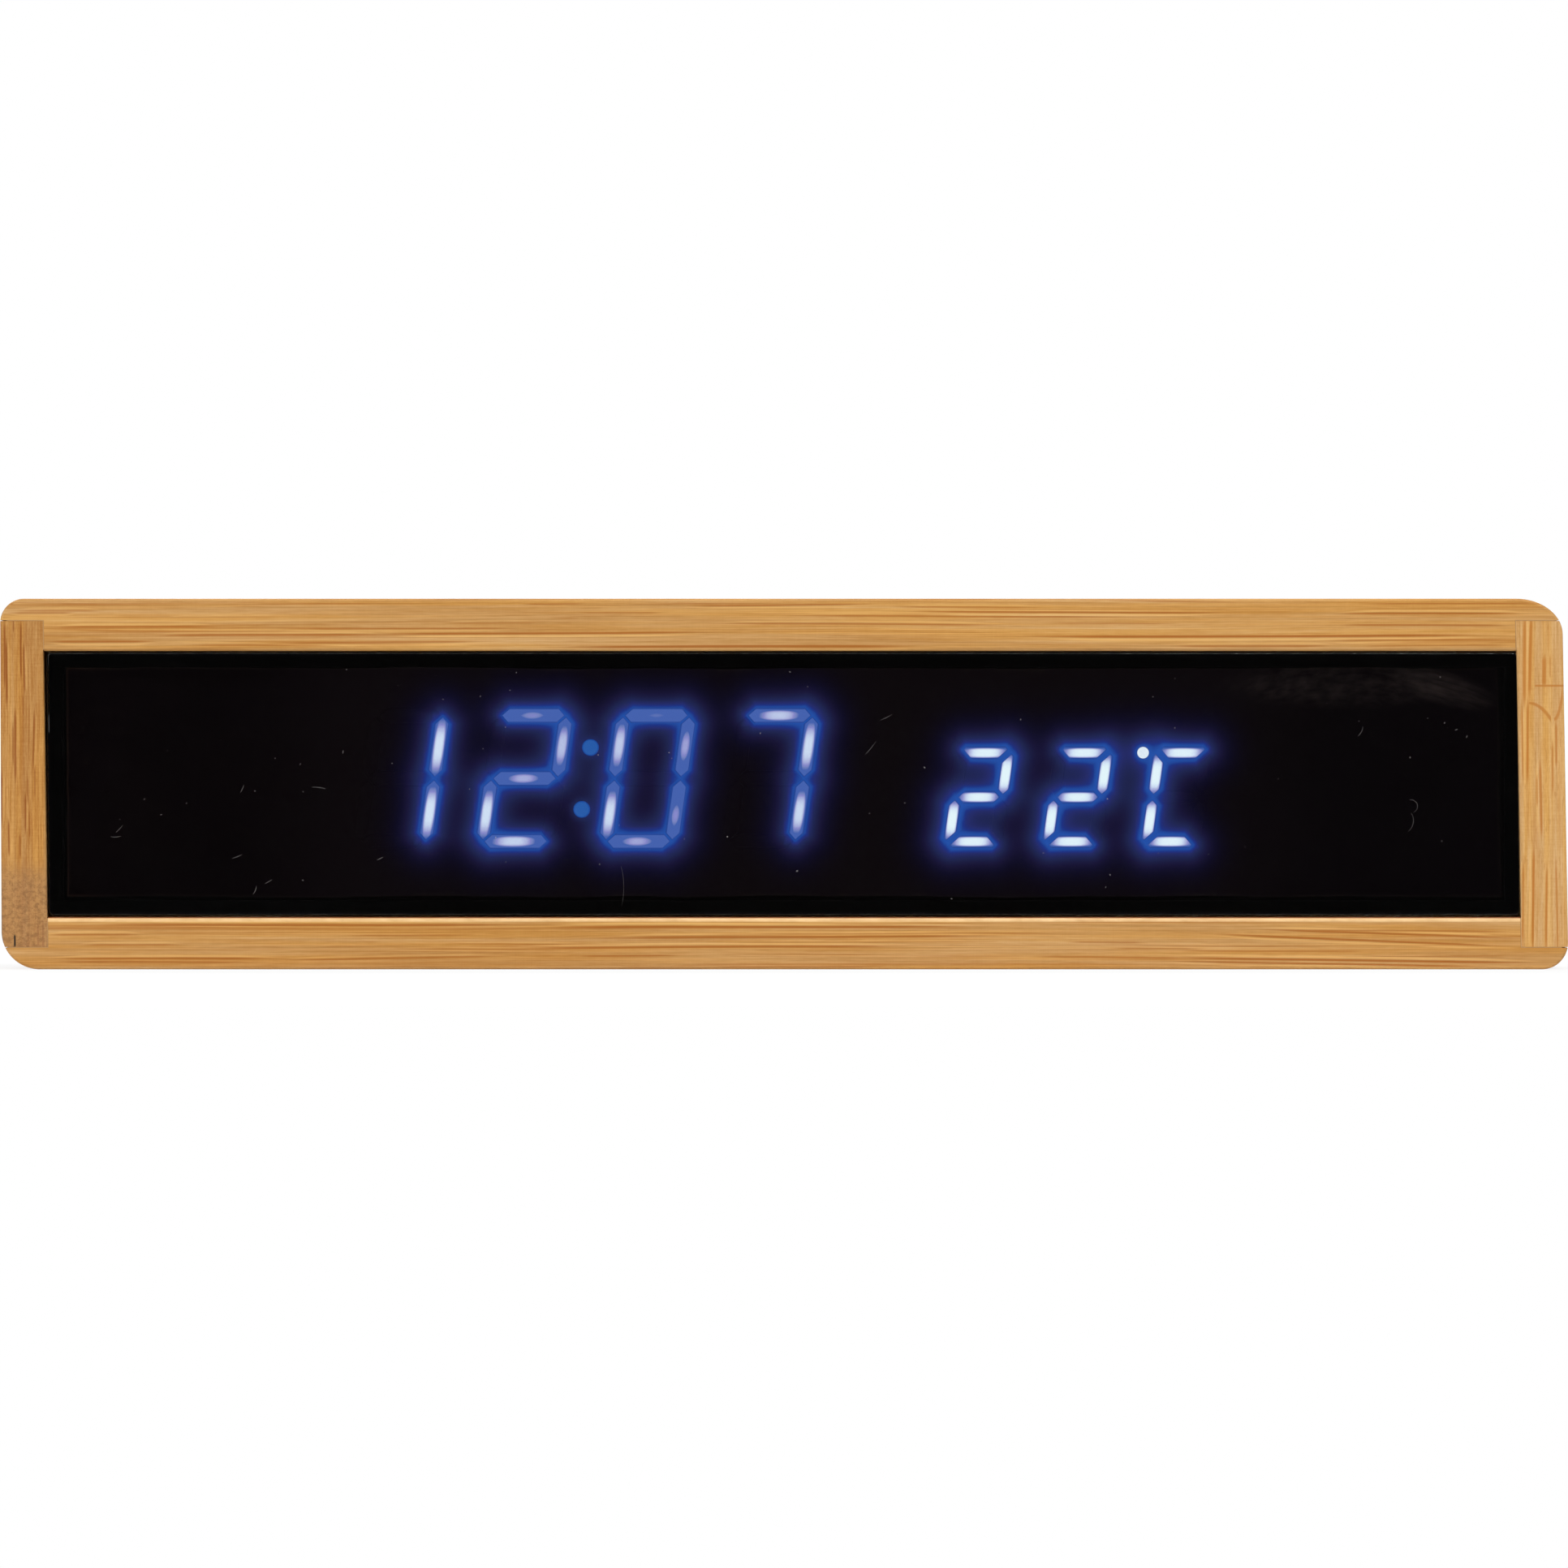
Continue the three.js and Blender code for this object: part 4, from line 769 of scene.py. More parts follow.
def stroke_finish():
    """Resin stroke: a steel-blue fill, a white core set by the stroke's own level, and a deep blue edge."""
    material, n, shader = finish(
        "lit stroke resin",
        base_color=FILM_BLACK,
        roughness=0.65,
        emission_strength=LIGHT,
        specular_ior_level=0.02,
    )
    uv = n.add("ShaderNodeUVMap", uv_map="stroke").outputs["UV"]
    along = n.maths("MULTIPLY_ADD", n.parts(uv)["X"], 2.0, -1.0)
    across = n.maths("MULTIPLY_ADD", n.parts(uv)["Y"], 2.0, -1.0)
    level = n.attribute("level")
    # The core is a long spot about its own middle, wider and blunter the whiter it is
    off = n.maths("DIVIDE", n.minus(along, n.attribute("shift")), n.attribute("span"))
    wide = n.maths("MINIMUM", n.maths("MULTIPLY_ADD", level, 0.64, 0.20), 0.74)
    wide = n.maths("MAXIMUM", wide, n.maths("MULTIPLY_ADD", level, 2.0, -1.14))
    pull = n.times(n.times(off, off), n.maths("MULTIPLY_ADD", level, -1.5, 1.8))
    taper = n.maths("SQRT", n.maths("MAXIMUM", n.minus(1.0, pull), 0.05))
    side = n.maths("DIVIDE", across, n.times(wide, taper))
    far = n.maths("POWER", n.maths("ABSOLUTE", off), n.maths("MULTIPLY_ADD", level, 2.2, 1.6))
    flat = n.maths("MULTIPLY_ADD", level, 5.5, 1.0)
    far = n.plus(far, n.maths("POWER", n.maths("ABSOLUTE", side), flat))
    core = n.minus(1.0, far, clamp=True)
    grain = n.spread(n.noise(n.place(), 4.0, 3.0, 0.7), 0.92, 1.08)
    white = n.times(n.times(core, level), grain, clamp=True)
    lit = n.ramp(
        white,
        (
            (0.0, srgb(70, 99, 176)),
            (0.31, srgb(117, 131, 190)),
            (0.45, srgb(134, 136, 203)),
            (0.52, srgb(148, 150, 208)),
            (0.72, srgb(180, 190, 228)),
            (0.86, srgb(209, 226, 247)),
            (1.0, srgb(230, 249, 255)),
        ),
    )
    depth = n.attribute("depth")
    rim = n.ramp(
        n.times(depth, 2.5),
        ((0.1, srgb(42, 77, 160)), (0.3, srgb(36, 69, 147)), (0.5, srgb(40, 72, 153))),
    )
    lit = n.mix(n.smooth(depth, 0.13, 0.23), rim, lit)
    # Unlit strokes: the halo and the faint painted glow
    dim = n.group(HALO_COLOUR, glow=n.attribute("glow"), field=PAINTED_FILM_GLOW)["Color"]
    n.put(shader["Emission Color"], n.mix(n.attribute("lit"), dim, lit))
    return material


def dot_finish(name, colour, soft):
    """A round lit dot with a soft edge."""
    material, n, shader = finish(
        name,
        base_color=(0.002, 0.002, 0.003, 1),
        roughness=0.45,
        emission_strength=LIGHT,
        specular_ior_level=0.05,
    )
    grain = n.spread(n.noise(n.place(), 5.0, 2.0), 0.0, 0.25)
    body = n.mix(grain, colour, srgb(60, 112, 190))
    n.put(shader["Emission Color"], n.mix(n.smooth(n.attribute("depth"), soft, 0.0), body, srgb(24, 66, 150)))
    return material


window_acrylic = smoked_acrylic()
dark_film = film_finish()
stroke_light = stroke_finish()
colon_light = dot_finish("colon dot resin", srgb(36, 88, 166), 0.25)
degree_light = dot_finish("degree dot resin", srgb(238, 250, 255), 0.10)


# Mesh tools


def plain_mesh(bm, name, matrix=TO_METRES):
    """A bmesh as a mesh. Without another matrix it turns millimetres into metres."""
    bm.transform(matrix)
    mesh = bpy.data.meshes.new(name)
    bm.to_mesh(mesh)
    bm.free()
    return mesh


def settled(bm, name):
    """A bmesh in millimetres, turned outwards, as a mesh in the frame."""
    bmesh.ops.recalc_face_normals(bm, faces=bm.faces)
    return plain_mesh(bm, name, TO_FRAME)


def piece(name, shape, material, body="case", slot=None, replaces=(), angle=35):
    """Puts a mesh in the frame, or a bmesh in millimetres, into the scene as one piece of the clock."""
    mesh = settled(shape, name) if isinstance(shape, bmesh.types.BMesh) else shape
    made = bpy.data.objects.new(name, mesh)
    bpy.context.scene.collection.objects.link(made)
    mesh.materials.clear()
    mesh.materials.append(material)
    mesh.shade_smooth()
    mesh.set_sharp_from_angle(angle=math.radians(angle))
    weights = made.modifiers.new("face weights", "WEIGHTED_NORMAL")
    weights.keep_sharp = True
    weights.weight = 100
    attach(made, body)
    if replaces:
        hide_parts(*replaces)


def arc(x, z, radius, start, end, steps):
    """Points along an arc about a centre, from one angle in degrees to another."""
    angles = [math.radians(start + (end - start) * i / steps) for i in range(steps + 1)]
    return [(x + radius * math.cos(a), z + radius * math.sin(a)) for a in angles]


def round_outline(centre, radius, sides=36):
    return arc(*centre, radius, 0, 360, sides)[:-1]


def rounded(width, height, radius, steps, x=0.0, z=0.0):
    """A rectangle with rounded corners, anticlockwise."""
    points = []
    for quarter, (side, rise) in enumerate(((1, 1), (-1, 1), (-1, -1), (1, -1))):
        centre = (x + side * (width / 2 - radius), z + rise * (height / 2 - radius))
        points += arc(*centre, radius, 90 * quarter, 90 * quarter + 90, steps)
    return points


def inset(outline, distances):
    """Moves each edge of an outline inwards by its own distance. Edge i runs from point i to the next one."""
    count = len(outline)
    inward = []
    for i, (x, z) in enumerate(outline):
        along = Vector(outline[(i + 1) % count]) - Vector((x, z))
        along.normalize()
        inward.append((-along.y, along.x))
    moved = []
    for i, (x, z) in enumerate(outline):
        (ax, az), (bx, bz) = inward[i - 1], inward[i]
        first, second = distances[i - 1], distances[i]
        turn = ax * bz - az * bx
        if abs(turn) < 0.25:
            middle = (first + second) / 2
            reach = math.hypot(ax + bx, az + bz)
            moved.append((x + (ax + bx) / reach * middle, z + (az + bz) / reach * middle))
        else:
            moved.append((x + (first * bz - second * az) / turn, z + (second * ax - first * bx) / turn))
    return moved


def fine(outline, like=None):
    """An outline with points added along its long edges, as many as along the edges of another."""
    points = []
    like = like or outline
    for i in range(len(outline)):
        start, end = Vector(outline[i - 1]), Vector(outline[i])
        steps = max(1, int((Vector(like[i]) - Vector(like[i - 1])).length / 0.5))
        points += [tuple(start.lerp(end, k / steps)) for k in range(steps)]
    return points


def bridge(bm, rings):
    """Joins rings of vertices, each listed anticlockwise seen from the front, from the front to the back."""
    count = len(rings[0])
    for near, far in zip(rings, rings[1:]):
        for i in range(count):
            j = (i + 1) % count
            bm.faces.new((near[i], far[i], far[j], near[j]))


def laddered(bm, verts, keys):
    """Fills a convex ring, listed anticlockwise, with short triangles from its lowest key to its highest."""
    count = len(verts)
    low, high = keys.index(min(keys)), keys.index(max(keys))
    under = [(low + i) % count for i in range((high - low) % count + 1)]
    over = [(low - i) % count for i in range((low - high) % count + 1)]
    i = j = 0
    while i + 1 < len(under) or j + 1 < len(over):
        before = verts[under[i]], verts[over[j]]
        if j + 1 == len(over) or (i + 1 < len(under) and keys[under[i + 1]] <= keys[over[j + 1]]):
            i += 1
            after = verts[under[i]]
        else:
            j += 1
            after = verts[over[j]]
        if len({after, *before}) == 3:
            bm.faces.new((before[0], after, before[1]))


def eased_plate(outline, eases, front, back, steps=3):
    """A solid with a front-view outline, its edges rounded by one ease or by one for each edge."""
    if isinstance(eases, float):
        eases = [eases] * len(outline)
    bm = bmesh.new()
    ease_at = [(eases[i - 1] + eases[i]) / 2 for i in range(len(outline))]
    rings = []
    for k in range(steps + 1):
        angle = math.pi / 2 * k / steps
        drawn = inset(outline, [e * (1 - math.sin(angle)) for e in eases])
        sunk = [e * (1 - math.cos(angle)) for e in ease_at]
        rings.append((drawn, sunk))
    front_rings = [[bm.verts.new((x, front + s, z)) for (x, z), s in zip(*ring)] for ring in rings]
    back_rings = [[bm.verts.new((x, back - s, z)) for (x, z), s in zip(*ring)] for ring in reversed(rings)]
    bridge(bm, front_rings + back_rings)
    bm.faces.new(front_rings[0])
    bm.faces.new(reversed(back_rings[-1]))
    return bm


def turned(profile, sides, x=0.0, z=0.0):
    """A solid turned about a line along the depth, from radii and depths that start and end on the line."""
    bm = bmesh.new()
    rings = []
    for radius, y in profile[1:-1]:
        angles = [2 * math.pi * i / sides for i in range(sides)]
        rings.append([bm.verts.new((x + radius * math.cos(a), y, z + radius * math.sin(a))) for a in angles])
    bridge(bm, rings)
    for ring, (_, y) in ((rings[0], profile[0]), (rings[-1], profile[-1])):
        tip = bm.verts.new((x, y, z))
        for i in range(sides):
            bm.faces.new((ring[i], ring[(i + 1) % sides], tip))
    bmesh.ops.recalc_face_normals(bm, faces=bm.faces)
    return bm


def merged(target, *others):
    """Adds other bmeshes to one and frees them."""
    for other in others:
        spare = bpy.data.meshes.new("spare")
        other.to_mesh(spare)
        other.free()
        target.from_mesh(spare)
        bpy.data.meshes.remove(spare)
    return target


# Geometry Nodes trees


def repeat_tree(name, layout):
    """A tree that repeats its own mesh over points, and keeps each copy's number in the attribute copy."""
    tree = bpy.data.node_groups.new(name, "GeometryNodeTree")
    tree.interface.new_socket("Geometry", in_out="INPUT", socket_type="NodeSocketGeometry")
    tree.interface.new_socket("Geometry", in_out="OUTPUT", socket_type="NodeSocketGeometry")
    n = Nodes(tree)
    given = n.add("NodeGroupInput")
    points, turn, scale = layout(n, tree, given)
    number = n.add("GeometryNodeInputIndex").outputs[0]
    numbered = n.add("GeometryNodeStoreNamedAttribute", {"Geometry": points, "Name": "copy"}, data_type="INT")
    n.put(next(s for s in numbered.inputs if s.name == "Value" and s.enabled), number)
    values = {"Points": numbered.outputs["Geometry"], "Instance": given.outputs["Geometry"]}
    copies = n.add("GeometryNodeInstanceOnPoints", values)
    if turn is not None:
        n.put(copies.inputs["Rotation"], turn)
    if scale is not None:
        n.put(copies.inputs["Scale"], scale)
    real = n.add("GeometryNodeRealizeInstances", {"Geometry": copies.outputs["Instances"]})
    tree.interface.new_socket("Material", in_out="INPUT", socket_type="NodeSocketMaterial")
    dressed = n.add(
        "GeometryNodeSetMaterial",
        {"Geometry": real.outputs["Geometry"], "Material": given.outputs["Material"]},
    )
    n.put(n.add("NodeGroupOutput").inputs["Geometry"], dressed.outputs["Geometry"])
    return tree


def asks(tree, **kinds):
    """Gives a tree one input for each word, of a kind such as Float."""
    for word, kind in kinds.items():
        tree.interface.new_socket(word.capitalize(), in_out="INPUT", socket_type="NodeSocket" + kind)


def chance(n, given, low, high):
    """A random vector for each copy, from the tree's seed."""
    made = n.add("FunctionNodeRandomValue", {"Min": low, "Max": high}, data_type="FLOAT_VECTOR")
    n.put(made.inputs["Seed"], given.outputs["Seed"])
    return made.outputs["Value"]


def row_layout(n, tree, given):
    """Points in a row."""
    asks(tree, count="Int", start="Vector", step="Vector")
    values = {"Count": given.outputs["Count"], "Start Location": given.outputs["Start"]}
    line = n.add("GeometryNodeMeshLine", values, mode="OFFSET")
    n.put(line.inputs["Offset"], given.outputs["Step"])
    return line.outputs["Mesh"], None, None


def upright_sheet(n, tree, given):
    """An upright rectangle with a point at each corner."""
    asks(tree, width="Float", height="Float", centre="Vector", seed="Int")
    size = {"Size X": given.outputs["Width"], "Size Y": given.outputs["Height"]}
    grid = n.add("GeometryNodeMeshGrid", {**size, "Vertices X": 2, "Vertices Y": 2}).outputs["Mesh"]
    upright = n.add("GeometryNodeTransform", {"Geometry": grid, "Rotation": (math.pi / 2, 0, 0)})
    n.put(upright.inputs["Translation"], given.outputs["Centre"])
    return upright.outputs["Geometry"]


def corner_layout(n, tree, given):
    """The four corners of an upright rectangle, each copy turned by its own amount."""
    sheet = upright_sheet(n, tree, given)
    return sheet, chance(n, given, (0, -0.7, 0), (0, 0.7, 0)), None


def dust_layout(n, tree, given):
    """Points scattered over an upright sheet, each copy turned and scaled by chance."""
    sheet = upright_sheet(n, tree, given)
    asks(tree, density="Float")
    spots = n.add("GeometryNodeDistributePointsOnFaces", {"Mesh": sheet})
    for word in ("Density", "Seed"):
        n.put(spots.inputs[word], given.outputs[word])
    turn = chance(n, given, (0, 0, 0), (0, 2 * math.pi, 0))
    scale = chance(n, given, (0.4, 0.6, 0.3), (2.6, 1.0, 1.1))
    return spots.outputs["Points"], turn, scale


ROW = repeat_tree("row of copies", row_layout)
CORNERS = repeat_tree("copies at four corners", corner_layout)
DUST = repeat_tree("scattered dust", dust_layout)


def evaluated(holder, modifier):
    """The plain mesh that a modifier makes. The modifier is removed afterwards."""
    depsgraph = bpy.context.evaluated_depsgraph_get()
    made = bpy.data.meshes.new_from_object(holder.evaluated_get(depsgraph), depsgraph=depsgraph)
    holder.modifiers.remove(modifier)
    return made


def repeated(mesh, tree, material, **values):
    """Runs a tree on a mesh in the frame's metres and returns the plain mesh that it makes."""
    holder = bpy.data.objects.new("holder", mesh)
    bpy.context.scene.collection.objects.link(holder)
    modifier = holder.modifiers.new("copies", "NODES")
    modifier.node_group = tree
    wanted = {**values, "material": material}
    for item in tree.interface.items_tree:
        word = item.name.lower()
        if item.in_out == "INPUT" and word in wanted:
            modifier[item.identifier] = wanted[word]
    made = evaluated(holder, modifier)
    bpy.data.objects.remove(holder)
    return made


def in_frame(x, y, z):
    """A point in millimetres about the middle of the case, as a point in the frame."""
    return tuple(TO_FRAME @ Vector((x, y, z)))


def in_row(name, bm, material, count, start, step):
    """Copies of a solid in millimetres in a row, as one mesh in the frame."""
    values = {"count": count, "start": in_frame(*start), "step": tuple(MM * v for v in step)}
    return repeated(plain_mesh(bm, name), ROW, material, **values)


# Bamboo boards


def as_made(x, z):
    """A point of the square case where the real one has it: the sides of the case lean."""
    if x > SIDE_START:
        return x + RIGHT_SHIFT - RIGHT_LEAN * z, z
    if -SIDE_MIDDLE < x < -SIDE_START:
        return x + LEFT_SHIFT - LEFT_LEAN * z, z
    if x < -SIDE_MIDDLE:
        return x + max(0.0, LEFT_END_SHIFT - LEFT_END_LEAN * z), z
    return x, z


def corner_arc(corner, cut, lower, steps):
    """The rounded corner at the upper right, above or below the height where the two boards meet."""
    wide, high = corner
    meeting = math.asin((cut - HALF_HEIGHT + high) / high)
    start, end = (0.0, meeting) if lower else (meeting, math.pi / 2)
    angles = [start + (end - start) * i / steps for i in range(steps + 1)]
    x, z = HALF_WIDTH - wide, HALF_HEIGHT - high
    return [((x + wide * math.cos(a), z + high * math.sin(a)), OUTER_EASE) for a in angles]


def flipped(points, side, rise):
    """Points mirrored once and listed the other way round."""
    return [((side * x, rise * z), ease) for (x, z), ease in reversed(points)]


def rail_outline(right, left):
    """The top rail anticlockwise, with the ease of the edge that starts at each point."""
    points = corner_arc(right, LAP_Z, False, 14)
    points += flipped(corner_arc(left, LAP_Z, False, 14), -1, 1)
    points[-1] = (points[-1][0], JOINT_EASE)
    shoulder = MOUTH_X - GLUE
    points += [((-shoulder, LAP_Z), JOINT_EASE), ((-shoulder, MOUTH_Z), INNER_EASE)]
    steps = 140
    for i in range(1, steps):
        x = -shoulder + 2 * shoulder * i / steps
        rough = noise.noise((x * 0.11, 3.7, 0)) + 0.6 * noise.noise((x * 0.45, 9.1, 0))
        points.append(((x, MOUTH_Z), INNER_EASE * (1 + 0.30 * rough)))
    points += [((shoulder, MOUTH_Z), JOINT_EASE), ((shoulder, LAP_Z), JOINT_EASE)]
    return points


def stile_outline(high, low):
    """The right stile anticlockwise, with the ease of the edge that starts at each point."""
    end = LAP_Z - GLUE
    points = flipped(corner_arc(low, end, True, 5), 1, -1)
    points += corner_arc(high, end, True, 5)
    points[-1] = (points[-1][0], JOINT_EASE)
    points += [((MOUTH_X, end), JOINT_EASE), ((MOUTH_X, MOUTH_Z + EASE_RUN), JOINT_EASE)]
    steps = 26
    for i in range(steps + 1):
        z = MOUTH_Z - 2 * MOUTH_Z * i / steps
        rough = noise.noise((z * 0.2, 5.3, 0))
        points.append(((MOUTH_X, z), INNER_EASE * (0.75 + 0.25 * rough)))
    points[-1] = (points[-1][0], JOINT_EASE)
    points += [((MOUTH_X, -MOUTH_Z - EASE_RUN), JOINT_EASE), ((MOUTH_X, -end), JOINT_EASE)]
    return points


def mirrored(points, side, rise):
    """An outline mirrored across the middle and still anticlockwise, with its eases on the same edges."""
    places = [as_made(side * x, rise * z) for (x, z), _ in points]
    eases = [ease for _, ease in points]
    if side * rise < 0:
        places.reverse()
        eases.reverse()
        eases = eases[1:] + eases[:1]
    return places, eases


boards = (
    ("top_rail", mirrored(rail_outline(TOP_RIGHT, TOP_LEFT), 1, 1), top_bamboo, "top_board"),
    ("bottom_rail", mirrored(rail_outline(LOW_RIGHT, LOW_LEFT), 1, -1), bottom_bamboo, "bottom_board"),
    ("left_stile", mirrored(stile_outline(TOP_LEFT, LOW_LEFT), -1, 1), left_bamboo, "left_board"),
    ("right_stile", mirrored(stile_outline(TOP_RIGHT, LOW_RIGHT), 1, 1), right_bamboo, "right_board"),
)
for name, (places, eases), material, node in boards:
    board = eased_plate(places, eases, -HALF_DEPTH, HALF_DEPTH)
    piece(name, board, material, slot="bamboo", replaces=(node,))


def corner_glue():
    """Dried glue in the rabbet joints, a hair below the wood at the front and the back."""
    shoulder = MOUTH_X - GLUE
    end = HALF_WIDTH - 0.9
    low = LAP_Z - GLUE
    start = MOUTH_Z + 0.2
    depth = HALF_DEPTH - 0.012
    corner = [(shoulder, start), (MOUTH_X, start), (MOUTH_X, low)]
    corner += [(end, low), (end, LAP_Z), (shoulder, LAP_Z)]
    bm = bmesh.new()
    for side in (-1, 1):
        for rise in (-1, 1):
            places, eases = mirrored([(p, 0.02) for p in corner], side, rise)
            merged(bm, eased_plate(places, eases, -depth, depth, 1))
    return bm


piece("corner_glue", corner_glue(), glue, slot="bamboo")


# Window

window_outline = [
    (x + WINDOW_SHIFT - WINDOW_LEAN * z, z)
    for x, z in rounded(WINDOW_WIDTH, WINDOW_HEIGHT, WINDOW_CORNER, 5)
]
window = eased_plate(window_outline, WINDOW_EASE, WINDOW_FRONT, WINDOW_BACK)
piece("smoked_window", window, window_acrylic, slot="smoked_acrylic", replaces=("front_window",))


# Display strokes, in the order top, upper right, lower right, bottom, lower left, upper left, middle


def hexagon(half_length, half, x=0.0, z=0.0, upright=False):
    """A stroke with two pointed ends."""
    flat = [(half_length - half, -half), (half_length, 0), (half_length - half, half)]
    flat += [(-a, -b) for a, b in flat]
    return [(x - b, z + a) if upright else (x + a, z + b) for a, b in flat]


def turned_over(points, side, rise):
    """A stroke mirrored about the middle of its digit."""
    return [(side * x, rise * z) for x, z in points]


def signed_area(points):
    """Area of an outline, above 0 where it is listed anticlockwise."""
    return sum(a[0] * b[1] - a[1] * b[0] for a, b in zip(points, points[1:] + points[:1])) / 2


def seven_strokes(top, upper_right, middle):
    """All strokes of a digit, each anticlockwise, from the three that differ."""
    strokes = [top, upper_right, turned_over(upper_right, 1, -1), turned_over(top, 1, -1)]
    strokes += [turned_over(upper_right, -1, -1), turned_over(upper_right, -1, 1), middle]
    return [points if signed_area(points) > 0 else points[::-1] for points in strokes]


def pointed_strokes():
    """Strokes of the time digits, pointed at both ends."""
    half = TIME_STROKE / 2
    line_x = TIME_WIDTH / 2 - half
    line_z = TIME_HEIGHT / 2 - half
    middle = hexagon(line_x - TIME_GAP, half)
    top = [(x, z + line_z) for x, z in middle]
    upright = hexagon(line_z / 2 - TIME_GAP, half, line_x, line_z / 2, True)
    return seven_strokes(top, upright, middle)


# Where the blunt tip of a mitred stroke starts and ends, back from its sharp corner
BLUNT = (0.9, 0.46)


def mitred_strokes():
    """Strokes of the temperature digits, mitred at the outer corners with blunt tips."""
    half = WARMTH_STROKE / 2
    corner, gap = WARMTH_CORNER_GAP, WARMTH_MIDDLE_GAP
    line_x = WARMTH_WIDTH / 2 - half
    line_z = WARMTH_HEIGHT / 2 - half
    out_x, in_x, out_z, in_z = line_x + half, line_x - half, line_z + half, line_z - half
    tip_x, tip_z = out_x - corner, out_z - corner
    top = [(tip_x - BLUNT[0], out_z), (tip_x - BLUNT[1], out_z - BLUNT[1]), (in_x - corner, in_z)]
    top = [(-x, z) for x, z in reversed(top)] + top
    upright = [(out_x - BLUNT[1], tip_z - BLUNT[1]), (out_x, tip_z - BLUNT[0])]
    upright += [(out_x, half + gap), (line_x, gap), (in_x, half + gap), (in_x, in_z - corner)]
    return seven_strokes(top, upright, hexagon(line_x - gap, half))


# Upright strokes of a digit, the gap round every stroke, and the depth and rise of its dome's rings
UPRIGHT = (1, 2, 4, 5)
STROKE_GAP = 0.02
STROKE_DOME = ((0.48, 0.05), (0.30, 0.04), (0.14, 0.02), (0.0, 0.0))


def digit_solid(strokes, point_share):
    """One digit's seven resin strokes, with each one's number, its depth from the edge and its own map."""
    bm = bmesh.new()
    number = bm.verts.layers.int.new("number")
    depth = bm.verts.layers.float.new("depth")
    stroke_map = bm.loops.layers.uv.new("stroke")
    for index, plain in enumerate(strokes):
        xs, zs = [p[0] for p in plain], [p[1] for p in plain]
        runs = [(b[0] - a[0], b[1] - a[1]) for a, b in zip(plain, plain[1:] + plain[:1])]
        shares = [point_share if abs(x * z) > 1e-6 else 1.0 for x, z in runs]
        middle = ((min(xs) + max(xs)) / 2, (min(zs) + max(zs)) / 2)
        size = ((max(xs) - min(xs)) / 2, (max(zs) - min(zs)) / 2)
        rings = []
        for deep, rise in STROKE_DOME:
            flat = fine(inset(plain, [STROKE_GAP + deep * share for share in shares]), plain)
            rings.append([(p, FILM_FRONT - rise, deep) for p in flat])
        rings.append([(p, SLAB_FRONT, 0.0) for p, _, _ in rings[-1]])
        made = []
        for ring in rings:
            row = []
            for (x, z), y, deep in ring:
                vert = bm.verts.new((x + SLANT * z, y, z))
                vert[number] = index
                vert[depth] = deep
                row.append(vert)
            made.append(row)
        before = set(bm.faces)
        bridge(bm, made)
        laddered(bm, made[0], [p[1 if index in UPRIGHT else 0] for p, _, _ in rings[0]])
        bm.faces.new(reversed(made[-1]))
        for face in set(bm.faces) - before:
            for loop in face.loops:
                x = loop.vert.co.x - SLANT * loop.vert.co.z
                z = loop.vert.co.z
                flat = ((x - middle[0]) / size[0], (z - middle[1]) / size[1])
                along, across = flat[::-1] if index in UPRIGHT else flat
                loop[stroke_map].uv = (0.5 + along / 2, 0.5 + across / 2)
    return bm


# What each lit stroke shows: how white its core is, where along the stroke it sits, and half its length
TIME_LIGHTS = (
    {1: (0.87, 0.01, 0.90), 2: (0.88, -0.08, 0.85)},
    {
        0: (0.40, -0.03, 0.38),
        1: (0.73, 0.04, 0.66),
        6: (0.63, -0.03, 0.48),
        4: (0.86, -0.13, 0.79),
        3: (0.80, -0.06, 0.68),
    },
    {
        0: (0.14, 0.0, 0.28),
        5: (0.77, 0.05, 0.71),
        1: (0.58, 0.03, 0.50),
        4: (0.84, -0.13, 0.76),
        2: (0.47, -0.18, 0.36),
        3: (0.60, -0.05, 0.47),
    },
    {0: (0.76, -0.02, 0.63), 1: (0.84, 0.02, 0.79), 2: (0.83, -0.07, 0.70)},
)
LEVEL, STEEP = (0.97, 0.0, 0.94), (1.0, 0.0, 0.97)
TWO = {0: LEVEL, 1: STEEP, 6: LEVEL, 4: STEEP, 3: LEVEL}
LETTER_C = {0: LEVEL, 5: STEEP, 4: STEEP, 3: LEVEL}
WARMTH_LIGHTS = (TWO, TWO, LETTER_C)


def placed(points, x, z):
    """A stroke of a leaning digit, moved to the digit's place."""
    return [(x + px + SLANT * pz, z + pz) for px, pz in points]


time_strokes = pointed_strokes()
warmth_strokes = mitred_strokes()
time_centres = [(TIME_X + (i - 1.5) * TIME_PITCH, TIME_Z) for i in range(4)]
warmth_centres = [(WARMTH_X + (i - 1) * WARMTH_PITCH, WARMTH_Z) for i in range(3)]
colon_centres = [(TIME_X + SLANT * s * COLON_SPACING / 2, TIME_Z + s * COLON_SPACING / 2) for s in (-1, 1)]
degree_centre = (WARMTH_X + WARMTH_PITCH - DEGREE_ASIDE + SLANT * DEGREE_RISE, WARMTH_Z + DEGREE_RISE)


# How strongly strokes and dots light the film. A stroke without a white core keeps DIM_SHARE of its light
TIME_POWER = 1.0
WARMTH_POWER = 1.1
COLON_POWER = 0.16
DEGREE_POWER = 0.80
DIM_SHARE = 0.72
FULL_CORE = 0.86

